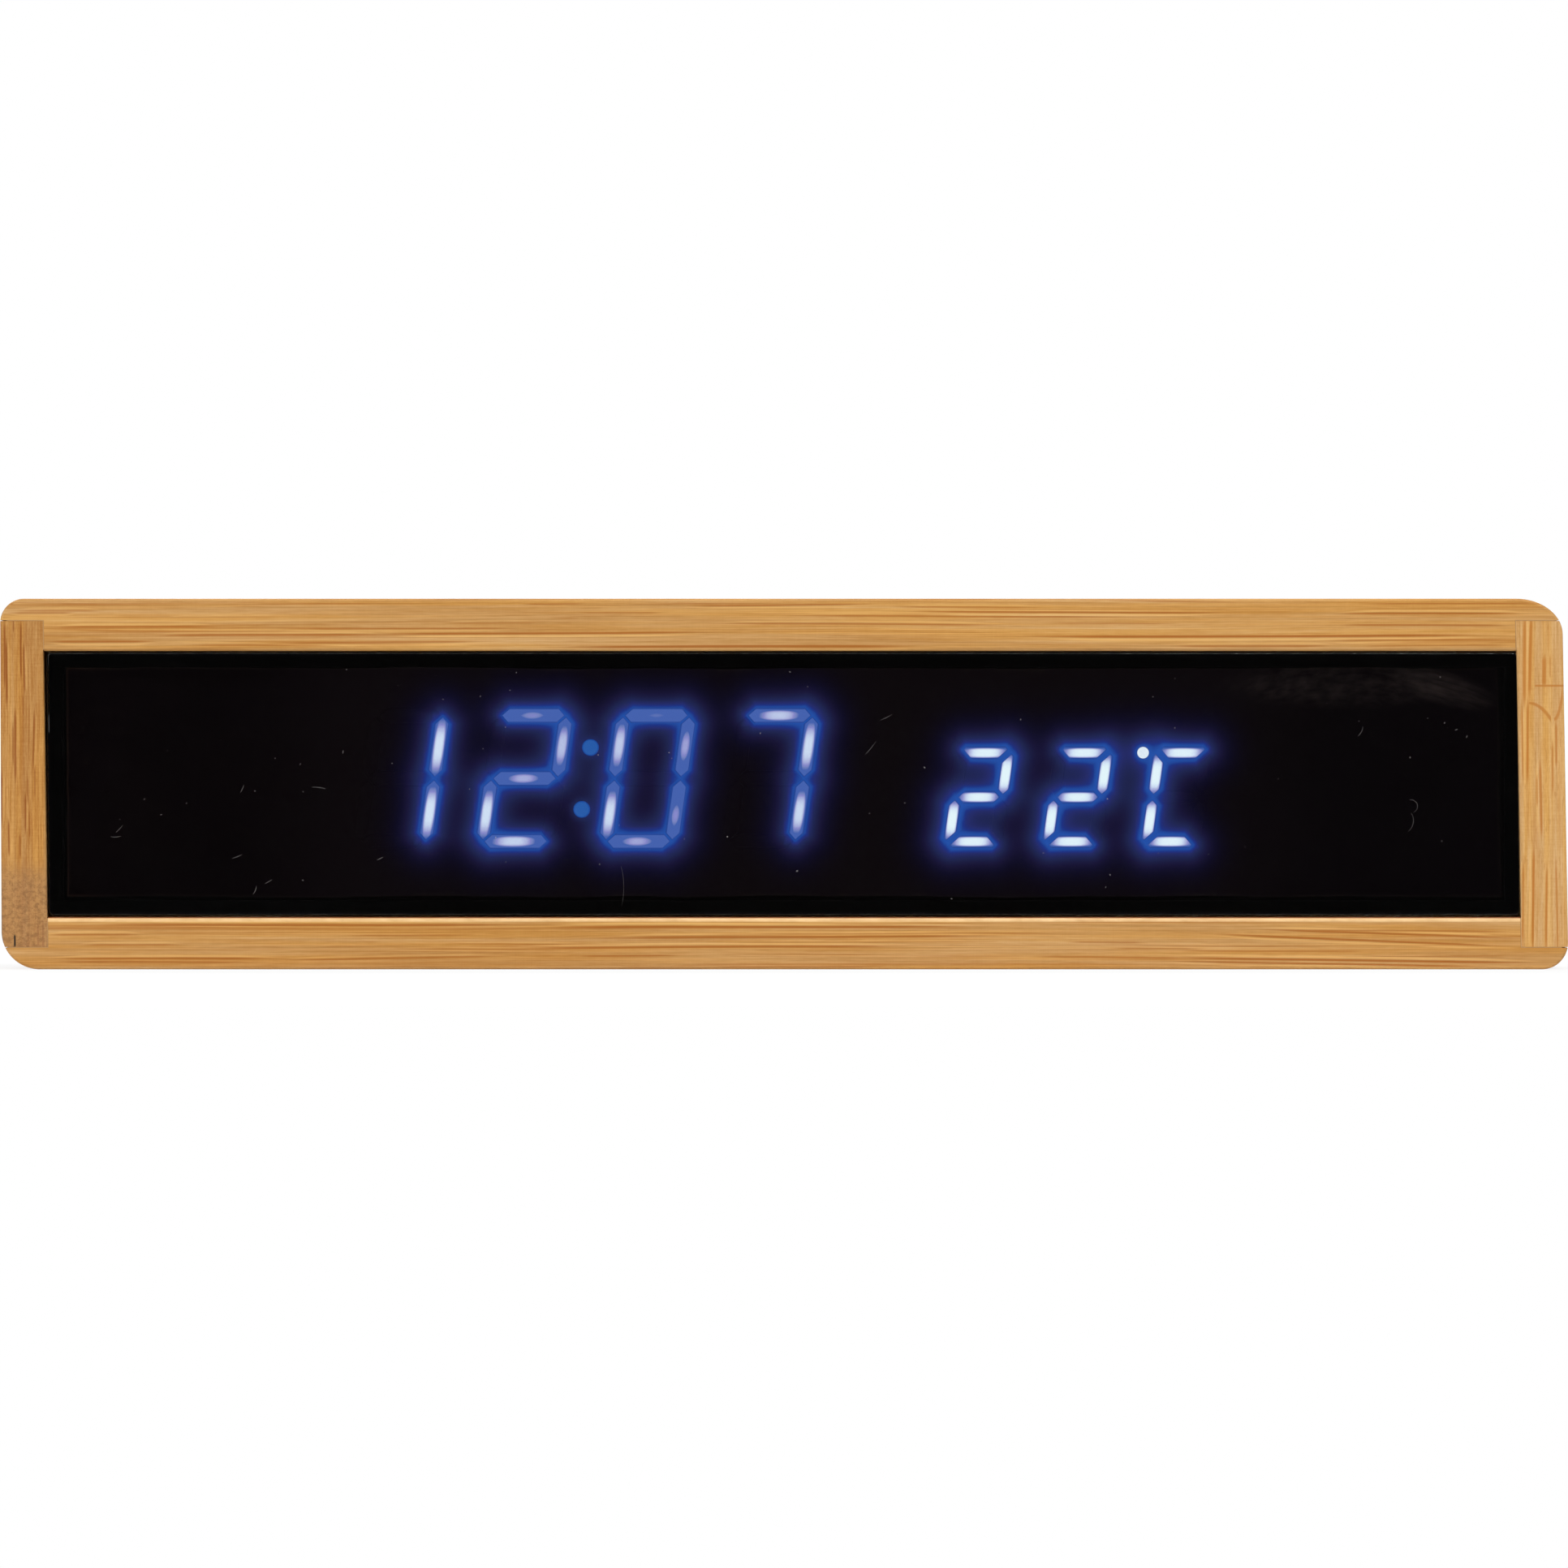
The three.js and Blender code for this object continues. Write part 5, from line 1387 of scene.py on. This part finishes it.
holes = []
lamps = []
for centres, strokes, lights, power in (
    (time_centres, time_strokes, TIME_LIGHTS, TIME_POWER),
    (warmth_centres, warmth_strokes, WARMTH_LIGHTS, WARMTH_POWER),
):
    for centre, lit in zip(centres, lights):
        for index, stroke in enumerate(strokes):
            outline = placed(stroke, *centre)
            holes.append(outline)
            if index in lit:
                core = min(1.0, lit[index][0] / FULL_CORE)
                lamps.append((outline, power * (DIM_SHARE + (1 - DIM_SHARE) * core)))
for centre in colon_centres:
    holes.append(round_outline(centre, COLON_RADIUS))
    lamps.append((holes[-1], COLON_POWER))
holes.append(round_outline(degree_centre, DEGREE_RADIUS))
lamps.append((holes[-1], DEGREE_POWER))


def to_outline(points, outline):
    """How far each point is from the line of a convex outline, and whether it lies inside."""
    corner = np.array(outline)
    best = np.full(len(points), 1e9)
    inside = np.ones(len(points), bool)
    for start, run in zip(corner, np.roll(corner, -1, axis=0) - corner):
        away = points - start
        share = np.clip(away @ run / (run @ run), 0, 1)
        best = np.minimum(best, np.linalg.norm(away - share[:, None] * run, axis=1))
        inside &= run[0] * away[:, 1] - run[1] * away[:, 0] >= 0
    return best, inside


def clearance(points, outline):
    """How far each point is from an outline, and 0 inside it."""
    far, inside = to_outline(points, outline)
    return np.where(inside, 0.0, far)


# Light on the film: a bright rim round every lit stroke and a wide haze
NEAR_GLOW = 0.37
NEAR_REACH = 0.49
FAR_GLOW = 0.45
FAR_REACH = 1.24


def glow_at(points):
    """Light that reaches the film at each point from all lit strokes."""
    rim = np.zeros(len(points))
    haze = np.zeros(len(points))
    for outline, power in lamps:
        far = clearance(points, outline)
        rim = np.maximum(rim, power * NEAR_GLOW * np.exp(-((far / NEAR_REACH) ** 2)))
        haze += power * FAR_GLOW * np.exp(-far / FAR_REACH)
    return np.clip(rim + haze, 0, 1)


def numbers(mesh, name):
    """The whole numbers that a mesh holds for its vertices under a name."""
    values = np.zeros(len(mesh.vertices), np.int32)
    mesh.attributes[name].data.foreach_get("value", values)
    return values


def write(mesh, **values):
    """Writes one number for each vertex under each name."""
    for name, each in values.items():
        mesh.attributes.new(name, "FLOAT", "POINT").data.foreach_set("value", each.astype(np.float32))


def front_view(mesh):
    """Where the vertices of a mesh in the frame lie in the front view, in millimetres."""
    places = np.zeros(len(mesh.vertices) * 3)
    mesh.vertices.foreach_get("co", places)
    return places.reshape(-1, 3)[:, [0, 2]] / MM - (0, HALF_HEIGHT)


def lit_row(name, strokes, centres, lights, point_share):
    """A row of digits from one digit's solid, with the light of every stroke written on its points."""
    (x, z), pitch = centres[0], centres[1][0] - centres[0][0]
    digit = digit_solid(strokes, point_share)
    mesh = in_row(name, digit, stroke_light, len(centres), (x, 0, z), (pitch, 0, 0))
    keys = list(zip(numbers(mesh, "copy"), numbers(mesh, "number")))
    level, shift, span = np.array([lights[c].get(s, (0, 0, 1)) for c, s in keys]).T
    lit = np.array([float(s in lights[c]) for c, s in keys])
    write(mesh, level=level, shift=shift, span=span, lit=lit, glow=glow_at(front_view(mesh)))
    return mesh


RESIN = {"slot": "stroke_resin", "replaces": ("stroke_resin",)}
for row in (
    ("time_strokes", time_strokes, time_centres, TIME_LIGHTS, 0.35),
    ("temperature_strokes", warmth_strokes, warmth_centres, WARMTH_LIGHTS, 0.4),
):
    piece(row[0], lit_row(*row), stroke_light, angle=60, **RESIN)


def dot_solid(radius):
    """A round resin dot about its own centre, with its depth from the edge."""
    low = radius - STROKE_GAP
    profile = ((0, FILM_FRONT - 0.05), (low * 0.45, FILM_FRONT - 0.05), (low * 0.8, FILM_FRONT - 0.03))
    profile += ((low, FILM_FRONT), (low, SLAB_FRONT), (0, SLAB_FRONT))
    bm = turned(profile, 36)
    depth = bm.verts.layers.float.new("depth")
    for vert in bm.verts:
        vert[depth] = low - math.hypot(vert.co.x, vert.co.z)
    return bm


(low_x, low_z), (high_x, high_z) = colon_centres
colon_step = (high_x - low_x, 0, high_z - low_z)
colon = in_row("colon_dots", dot_solid(COLON_RADIUS), colon_light, 2, (low_x, 0, low_z), colon_step)
piece("colon_dots", colon, colon_light, **RESIN)
degree = plain_mesh(dot_solid(DEGREE_RADIUS), "degree_dot")
degree.transform(Matrix.Translation(in_frame(degree_centre[0], 0, degree_centre[1])))
piece("degree_dot", degree, degree_light, **RESIN)

every_hole = np.array([p for hole in holes for p in hole])
module_low, module_high = every_hole.min(0), every_hole.max(0)
slab_size = module_high - module_low + 2 * (MODULE_MARGIN - MODULE_WALL - CAST_GAP)
slab_centre = (module_high + module_low) / 2
slab = eased_plate(rounded(*slab_size, 0.3, 3, *slab_centre), 0.15, SLAB_FRONT + 0.01, SLAB_BACK, 2)
slab_resin = moulded("cast resin slab", srgb(40, 52, 92), srgb(52, 60, 92), 0.8, 0.30, 0.05)
piece("resin_slab", slab, slab_resin, **RESIN)


# Film over the tray, with a window for every stroke


def film_edge():
    """The film's hand-cut outline, anticlockwise from its lower left corner."""
    left, right, low, high = -103.2, 102.5, -16.25, 16.7
    corners = ((left + 0.2, low), (right + 0.6, low), (right, high), (left, high))
    points = []
    for index, start in enumerate(corners):
        run = Vector(corners[(index + 1) % 4]) - Vector(start)
        steps = int(run.length / 1.2)
        side = Vector((-run.y, run.x)).normalized()
        for i in range(steps):
            far = i / steps * run.length
            wave = 0.20 * noise.noise((far * 0.07, index * 7.3, 1.5))
            wave += 0.09 * noise.noise((far * 0.5, index * 3.1, 4.5))
            points.append(tuple(Vector(start) + run * (i / steps) + side * (wave + 0.08)))
    return points


def grid_points(left, right, low, high, step):
    """Points of an even grid in the front view."""
    across, up = np.meshgrid(np.arange(left, right, step), np.arange(low, high, step))
    return np.column_stack((across.ravel(), up.ravel()))


def film_points(edge):
    """Points of the film off its outlines: rings near them, and grids that are fine round the strokes."""
    rings = []
    for hole in holes:
        drawn = fine(hole)
        for reach in (0.14, 0.38):
            rings += inset(drawn, [-reach] * len(drawn))
    rings += inset(edge, [0.35] * len(edge))
    rings = np.array(rings)
    coarse = grid_points(-101.5, 102.0, -15.0, 16.0, 2.2)
    coarse = coarse[(coarse[:, 0] < -76) | (coarse[:, 0] > 73)]
    grid = np.vstack((grid_points(-75.0, 72.0, -16.0, 16.5, 0.55), coarse))
    for hole in holes:
        grid = grid[clearance(grid, hole) > 0.55]
        rings = rings[clearance(rings, hole) > 0.13]
    return [tuple(p) for p in np.vstack((rings, grid))]


def film_mesh():
    """A flat film with stroke windows, fine where it glows, and how much light reaches each point."""
    edge = film_edge()
    points = []
    faces = []
    for outline in [edge] + [fine(hole) for hole in holes]:
        faces.append(list(range(len(points), len(points) + len(outline))))
        points += outline
    flat = [Vector(p) for p in points + film_points(edge)]
    made = geometry.delaunay_2d_cdt(flat, [], faces, 1, 1e-5)
    places, triangles, sources = made[0], made[2], made[5]
    bm = bmesh.new()
    verts = [bm.verts.new((p.x, FILM_FRONT, p.y)) for p in places]
    for triangle, source in zip(triangles, sources):
        if list(source) == [0]:
            bm.faces.new([verts[i] for i in triangle])
    bmesh.ops.delete(bm, geom=[v for v in bm.verts if not v.link_faces], context="VERTS")
    bmesh.ops.recalc_face_normals(bm, faces=bm.faces)
    if sum(f.normal.y for f in bm.faces) > 0:
        bmesh.ops.reverse_faces(bm, faces=bm.faces)
    grown = bmesh.ops.extrude_face_region(bm, geom=bm.faces[:], use_keep_orig=True)
    back = [v for v in grown["geom"] if isinstance(v, bmesh.types.BMVert)]
    bmesh.ops.translate(bm, verts=back, vec=(0, FILM_BACK - FILM_FRONT, 0))
    mesh = settled(bm, "glowing_film")
    spots = front_view(mesh)
    write(mesh, glow=glow_at(spots), edge=to_outline(spots, edge)[0] < 0.1)
    return mesh


piece("glowing_film", film_mesh(), dark_film, slot="display_film", replaces=("face_film",))


# Dust and lint on the window


def dust_finish():
    """Grey to pale dust."""
    material, n, shader = finish("pale dust")
    place = n.place()
    shade = n.noise(place, 0.25, 1.0)
    n.put(shader["Base Color"], n.ramp(shade, ((0.3, srgb(86, 84, 86)), (0.7, srgb(178, 174, 172)))))
    n.put(shader["Roughness"], n.spread(n.noise(place, 6.0), 0.8, 1.0))
    return material


pale_dust = dust_finish()
speck = bmesh.new()
bmesh.ops.create_icosphere(speck, subdivisions=1, radius=0.075)
bmesh.ops.scale(speck, vec=(1, 0.25, 1), verts=speck.verts)
dust = repeated(
    plain_mesh(speck, "window_dust"),
    DUST,
    pale_dust,
    width=200 * MM,
    height=34 * MM,
    centre=in_frame(0, WINDOW_FRONT, 0),
    density=8000.0,
    seed=11,
)
piece("window_dust", dust, pale_dust)

# Half width of a short lint strand, and the strands: middle, length, turn in degrees and how much each curls
STRAND = 0.026
LINT = (
    ((-95.4, -6.4), 1.4, 48, 0.3),
    ((-95.9, -7.5), 1.5, 4, 0.5),
    ((-77.8, -0.7), 1.2, 65, 0.3),
    ((-66.8, -0.6), 2.0, 175, 0.4),
    ((-78.5, -10.4), 1.5, 22, 0.2),
    ((-76.0, -15.2), 1.3, 70, 0.8),
    ((-74.0, -14.0), 1.1, 30, 0.2),
    ((-58.0, -10.7), 0.9, 25, 0.2),
    ((-63.3, 4.6), 0.5, 80, 0.1),
    ((-89.4, -4.4), 0.3, 10, 0.1),
    ((82.7, 7.6), 1.6, 65, 0.9),
    ((90.04, -3.68), 2.8, -80, -3.0),
    ((89.67, -5.61), 3.0, -103, -1.5),
    ((96.5, 7.8), 0.4, 20, 0.1),
    ((98.0, 6.8), 0.4, 60, 0.1),
    ((12.4, 5.2), 2.4, 52, 0.3),
    ((14.7, 9.6), 1.9, 27, 0.2),
    ((-23.4, -14.6), 5.6, 92, 0.5),
)


def lint_strands():
    """Thin three-sided strands that lie on the window."""
    bm = bmesh.new()
    steps = 9
    y = WINDOW_FRONT - 0.012
    for middle, length, turn, curl in LINT:
        course = math.radians(turn)
        heading = course - curl / 2
        spot = Vector(middle) - Vector((math.cos(course), math.sin(course))) * length / 2
        rings = []
        for i in range(steps + 1):
            thick = STRAND / (1 + length / 2) * (0.6 + 0.6 * math.sin(math.pi * i / steps))
            side = Vector((-math.sin(heading), math.cos(heading))) * thick
            corners = ((spot - side, y), (spot, y - 0.02), (spot + side, y))
            rings.append([bm.verts.new((p.x, deep, p.y)) for p, deep in corners])
            spot = spot + Vector((math.cos(heading), math.sin(heading))) * length / steps
            heading += curl / steps * (1 + 0.8 * math.sin(2.5 * i))
        bridge(bm, rings)
        bm.faces.new(rings[0])
        bm.faces.new(reversed(rings[-1]))
    return bm


piece("window_lint", lint_strands(), pale_dust, angle=80)


# Rear panel, its screws, buttons, inlet and battery door


def softened(node, chosen, width, segments=2):
    """A copy of a CAD node with whole faces, its chosen edges rounded."""
    bm = bmesh.new()
    bm.from_mesh(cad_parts[node].data)
    bmesh.ops.remove_doubles(bm, verts=bm.verts, dist=1e-6)
    bmesh.ops.dissolve_limit(bm, angle_limit=math.radians(1), verts=bm.verts, edges=bm.edges)
    edges = [e for e in bm.edges if len(e.link_faces) == 2 and e.calc_face_angle(0) > 0.6 and chosen(e)]
    bmesh.ops.bevel(
        bm, geom=edges, offset=width * MM, segments=segments, profile=0.5, affect="EDGES", clamp_overlap=True
    )
    return plain_mesh(bm, node + "_eased", Matrix())


def on_plane(y):
    """A test for the edges that lie in the plane at a depth."""
    return lambda edge: all(abs(v.co.y - y * MM) < 2e-5 for v in edge.verts)


piece(
    "rear_panel",
    softened("back_panel", on_plane(PANEL_BACK), 0.2),
    black_plastic,
    slot="black_plastic",
    replaces=("back_panel",),
    angle=30,
)


def cross_screw():
    """Pan-head screw with a cross recess, pointing to the front, its head's underside at the seat."""
    head, height, shank, length = 2.3, 1.3, 1.1, 10.0
    profile = [(0, -length), (0.3, -length), (shank, 1 - length), (shank, 0), (head - 0.12, 0), (head, 0.12)]
    for i in range(7):
        angle = math.pi / 2 * i / 6
        profile.append((0.5 + (head - 0.5) * math.cos(angle), 0.45 + (height - 0.45) * math.sin(angle)))
    bm = turned(profile + [(0, height)], 40)
    cutter = bmesh.new()
    for wide, tall in ((2.6, 0.6), (0.6, 2.6)):
        merged(cutter, eased_plate(rounded(wide, tall, 0.12, 2), 0.01, height - 0.75, height + 1, 1))
    holder = bpy.data.objects.new("screw", plain_mesh(bm, "cross_screw"))
    tool = bpy.data.objects.new("cross", plain_mesh(cutter, "cross_recess"))
    for made in (holder, tool):
        bpy.context.scene.collection.objects.link(made)
    cut = holder.modifiers.new("cross", "BOOLEAN")
    cut.object = tool
    cut.operation = "DIFFERENCE"
    cut.solver = "EXACT"
    cut.use_self = True
    mesh = evaluated(holder, cut)
    for made in (holder, tool):
        bpy.data.objects.remove(made)
    return mesh


screws = repeated(
    cross_screw(),
    CORNERS,
    black_steel,
    width=2 * POST_X * MM,
    height=2 * POST_Z * MM,
    centre=in_frame(0, SCREW_SEAT, 0),
    seed=4,
)
screw_nodes = [f"panel_screw_{place}" for place in PLACES]
piece("panel_screws", screws, black_steel, slot="black_steel", replaces=screw_nodes)


def button_cap(x):
    """Dished cap with a flange behind the panel."""
    ease, rim, dish = 0.15, 0.45, 0.28
    back = CAP_FOOT + 1.0
    profile = [(0, CAP_FOOT), (FLANGE_RADIUS - ease, CAP_FOOT), (FLANGE_RADIUS, CAP_FOOT + ease)]
    profile += [(FLANGE_RADIUS, back - ease), (FLANGE_RADIUS - ease, back), (CAP_RADIUS, back)]
    for i in range(7):
        angle = math.pi / 2 * i / 6
        profile.append((CAP_RADIUS - rim + rim * math.cos(angle), CAP_TOP - rim + rim * math.sin(angle)))
    for i in range(1, 8):
        share = i / 8
        profile.append(((CAP_RADIUS - rim) * (1 - share), CAP_TOP - dish * math.sin(math.pi / 2 * share)))
    return turned(profile + [(0, CAP_TOP - dish)], 64, x)


def raised_sign(outline, x):
    """A sign that rises from a cap's dish."""
    return eased_plate([(x + px, pz) for px, pz in outline], 0.06, CAP_TOP - 0.5, SIGN_TOP, 2)


def rounded_triangle(size, rise):
    """A triangle with rounded corners that points up or down, seen from the front or the back alike."""
    points = []
    for corner in range(3):
        turn = 90 + 120 * corner
        at = (size * 0.72 * math.cos(math.radians(turn)), size * 0.72 * math.sin(math.radians(turn)))
        points += arc(*at, size * 0.28, turn - 60, turn + 60, 5)
    if rise < 0:
        points = [(x, -z) for x, z in reversed(points)]
    return points


SIGN_TOP = CAP_TOP - 0.06
signs = (rounded(1.9, 1.9, 0.94, 8), rounded_triangle(1.25, 1), rounded_triangle(1.25, -1))
for word, step, sign in zip(KEYS, (1, 0, -1), signs):
    x = BUTTON_X + step * BUTTON_PITCH
    piece(
        f"{word}_cap",
        merged(button_cap(x), raised_sign(sign, x)),
        button_plastic,
        body=f"{word}_key",
        slot="button_plastic",
        replaces=(f"{word}_button",),
    )


def hooped(bm, rings):
    """Joins rings of vertices into a closed hoop, the last one to the first."""
    count = len(rings[0])
    for near, far in zip(rings, rings[1:] + rings[:1]):
        for i in range(count):
            j = (i + 1) % count
            bm.faces.new((near[i], near[j], far[j], far[i]))
    bmesh.ops.recalc_face_normals(bm, faces=bm.faces)
    return bm


def raised_ring(inner, outer):
    """A low ring with a rounded crest on the rear panel, between two outlines."""
    low, high = PANEL_BACK - 0.02, PANEL_BACK + 0.4
    bm = bmesh.new()
    rings = []
    steps = 8
    for i in range(steps + 1):
        angle = math.pi * i / steps
        share = (1 - math.cos(angle)) / 2
        drawn = [(a[0] + (b[0] - a[0]) * share, a[1] + (b[1] - a[1]) * share) for a, b in zip(inner, outer)]
        y = low + (high - low) * math.sin(angle) ** 0.6
        rings.append([bm.verts.new((x, y, z)) for x, z in drawn])
    return hooped(bm, rings)


bezel = raised_ring(round_outline((0, 0), 3.75, 64), round_outline((0, 0), 4.75, 64))
first_button = (BUTTON_X - BUTTON_PITCH, 0, 0)
bezels = in_row("button_bezels", bezel, black_plastic, 3, first_button, (BUTTON_PITCH, 0, 0))
piece("button_bezels", bezels, black_plastic, slot="black_plastic")
inlet_bezel = raised_ring(rounded(9.8, 4.1, 2.049, 16, INLET_X), rounded(11.8, 6.1, 3.049, 16, INLET_X))
piece("inlet_bezel", inlet_bezel, black_plastic, slot="black_plastic")


def inlet_sleeve():
    """Drawn metal sleeve of the power inlet, with a rolled lip."""
    stations = ((9.0, 3.3, INLET_FRONT), (9.0, 3.3, INLET_BACK - 0.15), (8.8, 3.1, INLET_BACK))
    stations += ((8.5, 2.8, INLET_BACK), (8.3, 2.6, INLET_BACK - 0.15), (8.3, 2.6, INLET_FRONT))
    bm = bmesh.new()
    rings = []
    for wide, tall, y in stations:
        outline = rounded(wide, tall, tall / 2 - 0.001, 14, INLET_X)
        rings.append([bm.verts.new((x, y, z)) for x, z in outline])
    return hooped(bm, rings)


piece("inlet_sleeve", inlet_sleeve(), tin_plate, slot="tin_plate", replaces=("inlet_shell",))
foot = eased_plate(rounded(8.1, 2.4, 1.199, 10, INLET_X), 0.1, INLET_FRONT, INLET_FRONT + 1.5, 2)
blade = eased_plate(rounded(6.6, 0.7, 0.2, 4, INLET_X), 0.12, INLET_FRONT + 0.5, INLET_BACK - 0.8, 2)
piece("inlet_blade", merged(foot, blade), chip_plastic, slot="chip_plastic", replaces=("inlet_tongue",))
contact = eased_plate(rounded(0.28, 0.06, 0.02, 2), 0.01, INLET_FRONT + 2.5, INLET_BACK - 1.1, 1)
contacts = in_row("inlet_contacts", contact, gold_plate, 12, (INLET_X - 2.75, 0, 0.36), (0.5, 0, 0))
piece("inlet_contacts", contacts, gold_plate)

piece(
    "cell_door",
    softened("battery_door", on_plane(PANEL_BACK), 0.2),
    black_plastic,
    body="door",
    slot="black_plastic",
    replaces=("battery_door",),
    angle=30,
)
ridge = eased_plate(rounded(12.0, 0.7, 0.3, 4), 0.2, PANEL_BACK - 0.3, PANEL_BACK + 0.3, 3)
ridges = in_row("door_grip", ridge, black_plastic, 5, (HATCH_X, 0, DOOR_FOOT + 2.2), (0, 0, 1.4))
piece("door_grip", ridges, black_plastic, body="door", slot="black_plastic")


# Finishes of the CAD pieces that stay
kept = (
    (post_bamboo, [f"corner_post_{p}" for p in PLACES]),
    (foam, [f"window_tape_{side}" for side in ("top", "bottom", "left", "right")]),
    (tray_plastic, ["display_tray", "display_housing"]),
    (green_mask, ["display_base", "main_board", "key_board"]),
    (chip_plastic, ["microcontroller", "buzzer", "cell_holder"] + [f"{k}_plunger" for k in KEYS]),
    (tin_plate, [f"board_screw_{p}" for p in PLACES] + ["key_screw_left", "key_screw_right", "crystal"]),
    (tin_plate, ["cap_contact", "leaf_contact"] + [f"{k}_switch" for k in KEYS]),
    (aluminium, ["capacitor"]),
    (bead_coat, ["thermistor"]),
    (pale_nylon, ["main_plug", "key_plug"]),
    (grey_ribbon, ["ribbon_cable"]),
    (cell_steel, ["coin_cell"]),
)
for material, nodes in kept:
    for node in nodes:
        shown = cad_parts[node].data
        shown.materials.clear()
        shown.materials.append(material)


# Camera, floor and studio light

FRAME_WIDTH = CASE_WIDTH * MM
CAMERA_AWAY = 2.6
SENSOR = 36.0
FLOOR_RADIUS = 0.45
FLOOR_WHITE = 0.84

camera = bpy.data.cameras.new("front camera")
camera.sensor_width = SENSOR
camera.lens = SENSOR * CAMERA_AWAY / FRAME_WIDTH
camera_object = bpy.data.objects.new("front camera", camera)
camera_object.location = (0, -HALF_DEPTH * MM - CAMERA_AWAY, HALF_HEIGHT * MM)
camera_object.rotation_euler = (math.pi / 2, 0, 0)
bpy.context.scene.collection.objects.link(camera_object)
bpy.context.scene.camera = camera_object


def studio_floor():
    """Pale round floor that keeps a faint shadow. It is clear from below, to show the underside."""
    bm = bmesh.new()
    bmesh.ops.create_circle(bm, cap_ends=True, segments=96, radius=FLOOR_RADIUS)
    mesh = plain_mesh(bm, "floor", Matrix())
    material = bpy.data.materials.new("pale floor")
    material.use_nodes = True
    material.node_tree.nodes.clear()
    n = Nodes(material.node_tree)
    path = n.add("ShaderNodeLightPath").outputs
    seen = n.maths("MAXIMUM", path["Is Glossy Ray"], path["Is Transmission Ray"])
    seen = n.maths("MAXIMUM", path["Is Camera Ray"], seen)
    pale = n.add("ShaderNodeBsdfDiffuse", {"Color": (0.86, 0.86, 0.86, 1)}).outputs[0]
    white = n.add("ShaderNodeEmission", {"Color": (1, 1, 1, 1), "Strength": 1.0}).outputs[0]
    top = n.add("ShaderNodeMixShader", {0: n.times(seen, FLOOR_WHITE), 1: pale, 2: white}).outputs[0]
    below = n.add("ShaderNodeNewGeometry").outputs["Backfacing"]
    clear = n.add("ShaderNodeBsdfTransparent").outputs[0]
    both = n.add("ShaderNodeMixShader", {0: below, 1: top, 2: clear}).outputs[0]
    n.put(n.add("ShaderNodeOutputMaterial").inputs["Surface"], both)
    mesh.materials.append(material)
    floor = bpy.data.objects.new("floor", mesh)
    bpy.context.scene.collection.objects.link(floor)


studio_floor()


def studio_world():
    """White behind the clock, soft grey round it and a dark patch on the camera's side."""
    world = bpy.data.worlds.new("studio")
    bpy.context.scene.world = world
    world.use_nodes = True
    world.node_tree.nodes.clear()
    n = Nodes(world.node_tree)
    toward = n.parts(n.add("ShaderNodeTexCoord").outputs["Generated"])["Y"]
    open_side = n.smooth(toward, -0.95, -0.55)
    path = n.add("ShaderNodeLightPath").outputs
    soft = n.mix(open_side, (0.016, 0.015, 0.015, 1), (0.40, 0.40, 0.40, 1))
    through = n.times(path["Is Transmission Ray"], n.smooth(toward, -0.5, 0.3))
    seen = n.maths("MAXIMUM", path["Is Camera Ray"], through)
    colour = n.mix(seen, soft, (1, 1, 1, 1))
    light = n.add("ShaderNodeBackground", {"Color": colour, "Strength": 1.0}).outputs[0]
    n.put(n.add("ShaderNodeOutputWorld").inputs["Surface"], light)


studio_world()


def soft_lamp(name, place, size, power, tint=(1, 1, 1)):
    """A square soft box that faces the clock."""
    lamp = bpy.data.lights.new(name, "AREA")
    lamp.size = size
    lamp.energy = power
    lamp.color = tint
    lamp_object = bpy.data.objects.new(name, lamp)
    lamp_object.location = place
    aim = Vector((0, 0, HALF_HEIGHT * MM)) - Vector(place)
    lamp_object.rotation_euler = aim.to_track_quat("-Z", "Y").to_euler()
    lamp_object.visible_camera = False
    bpy.context.scene.collection.objects.link(lamp_object)


soft_lamp("key box", (0.32, -0.72, 1.15), 0.7, 14.3)
soft_lamp("side box", (-1.1, -0.7, 0.45), 0.6, 3.8)
soft_lamp("rear box", (-0.35, 1.15, 0.95), 0.8, 12.0)

bpy.context.scene.view_settings.view_transform = "Standard"
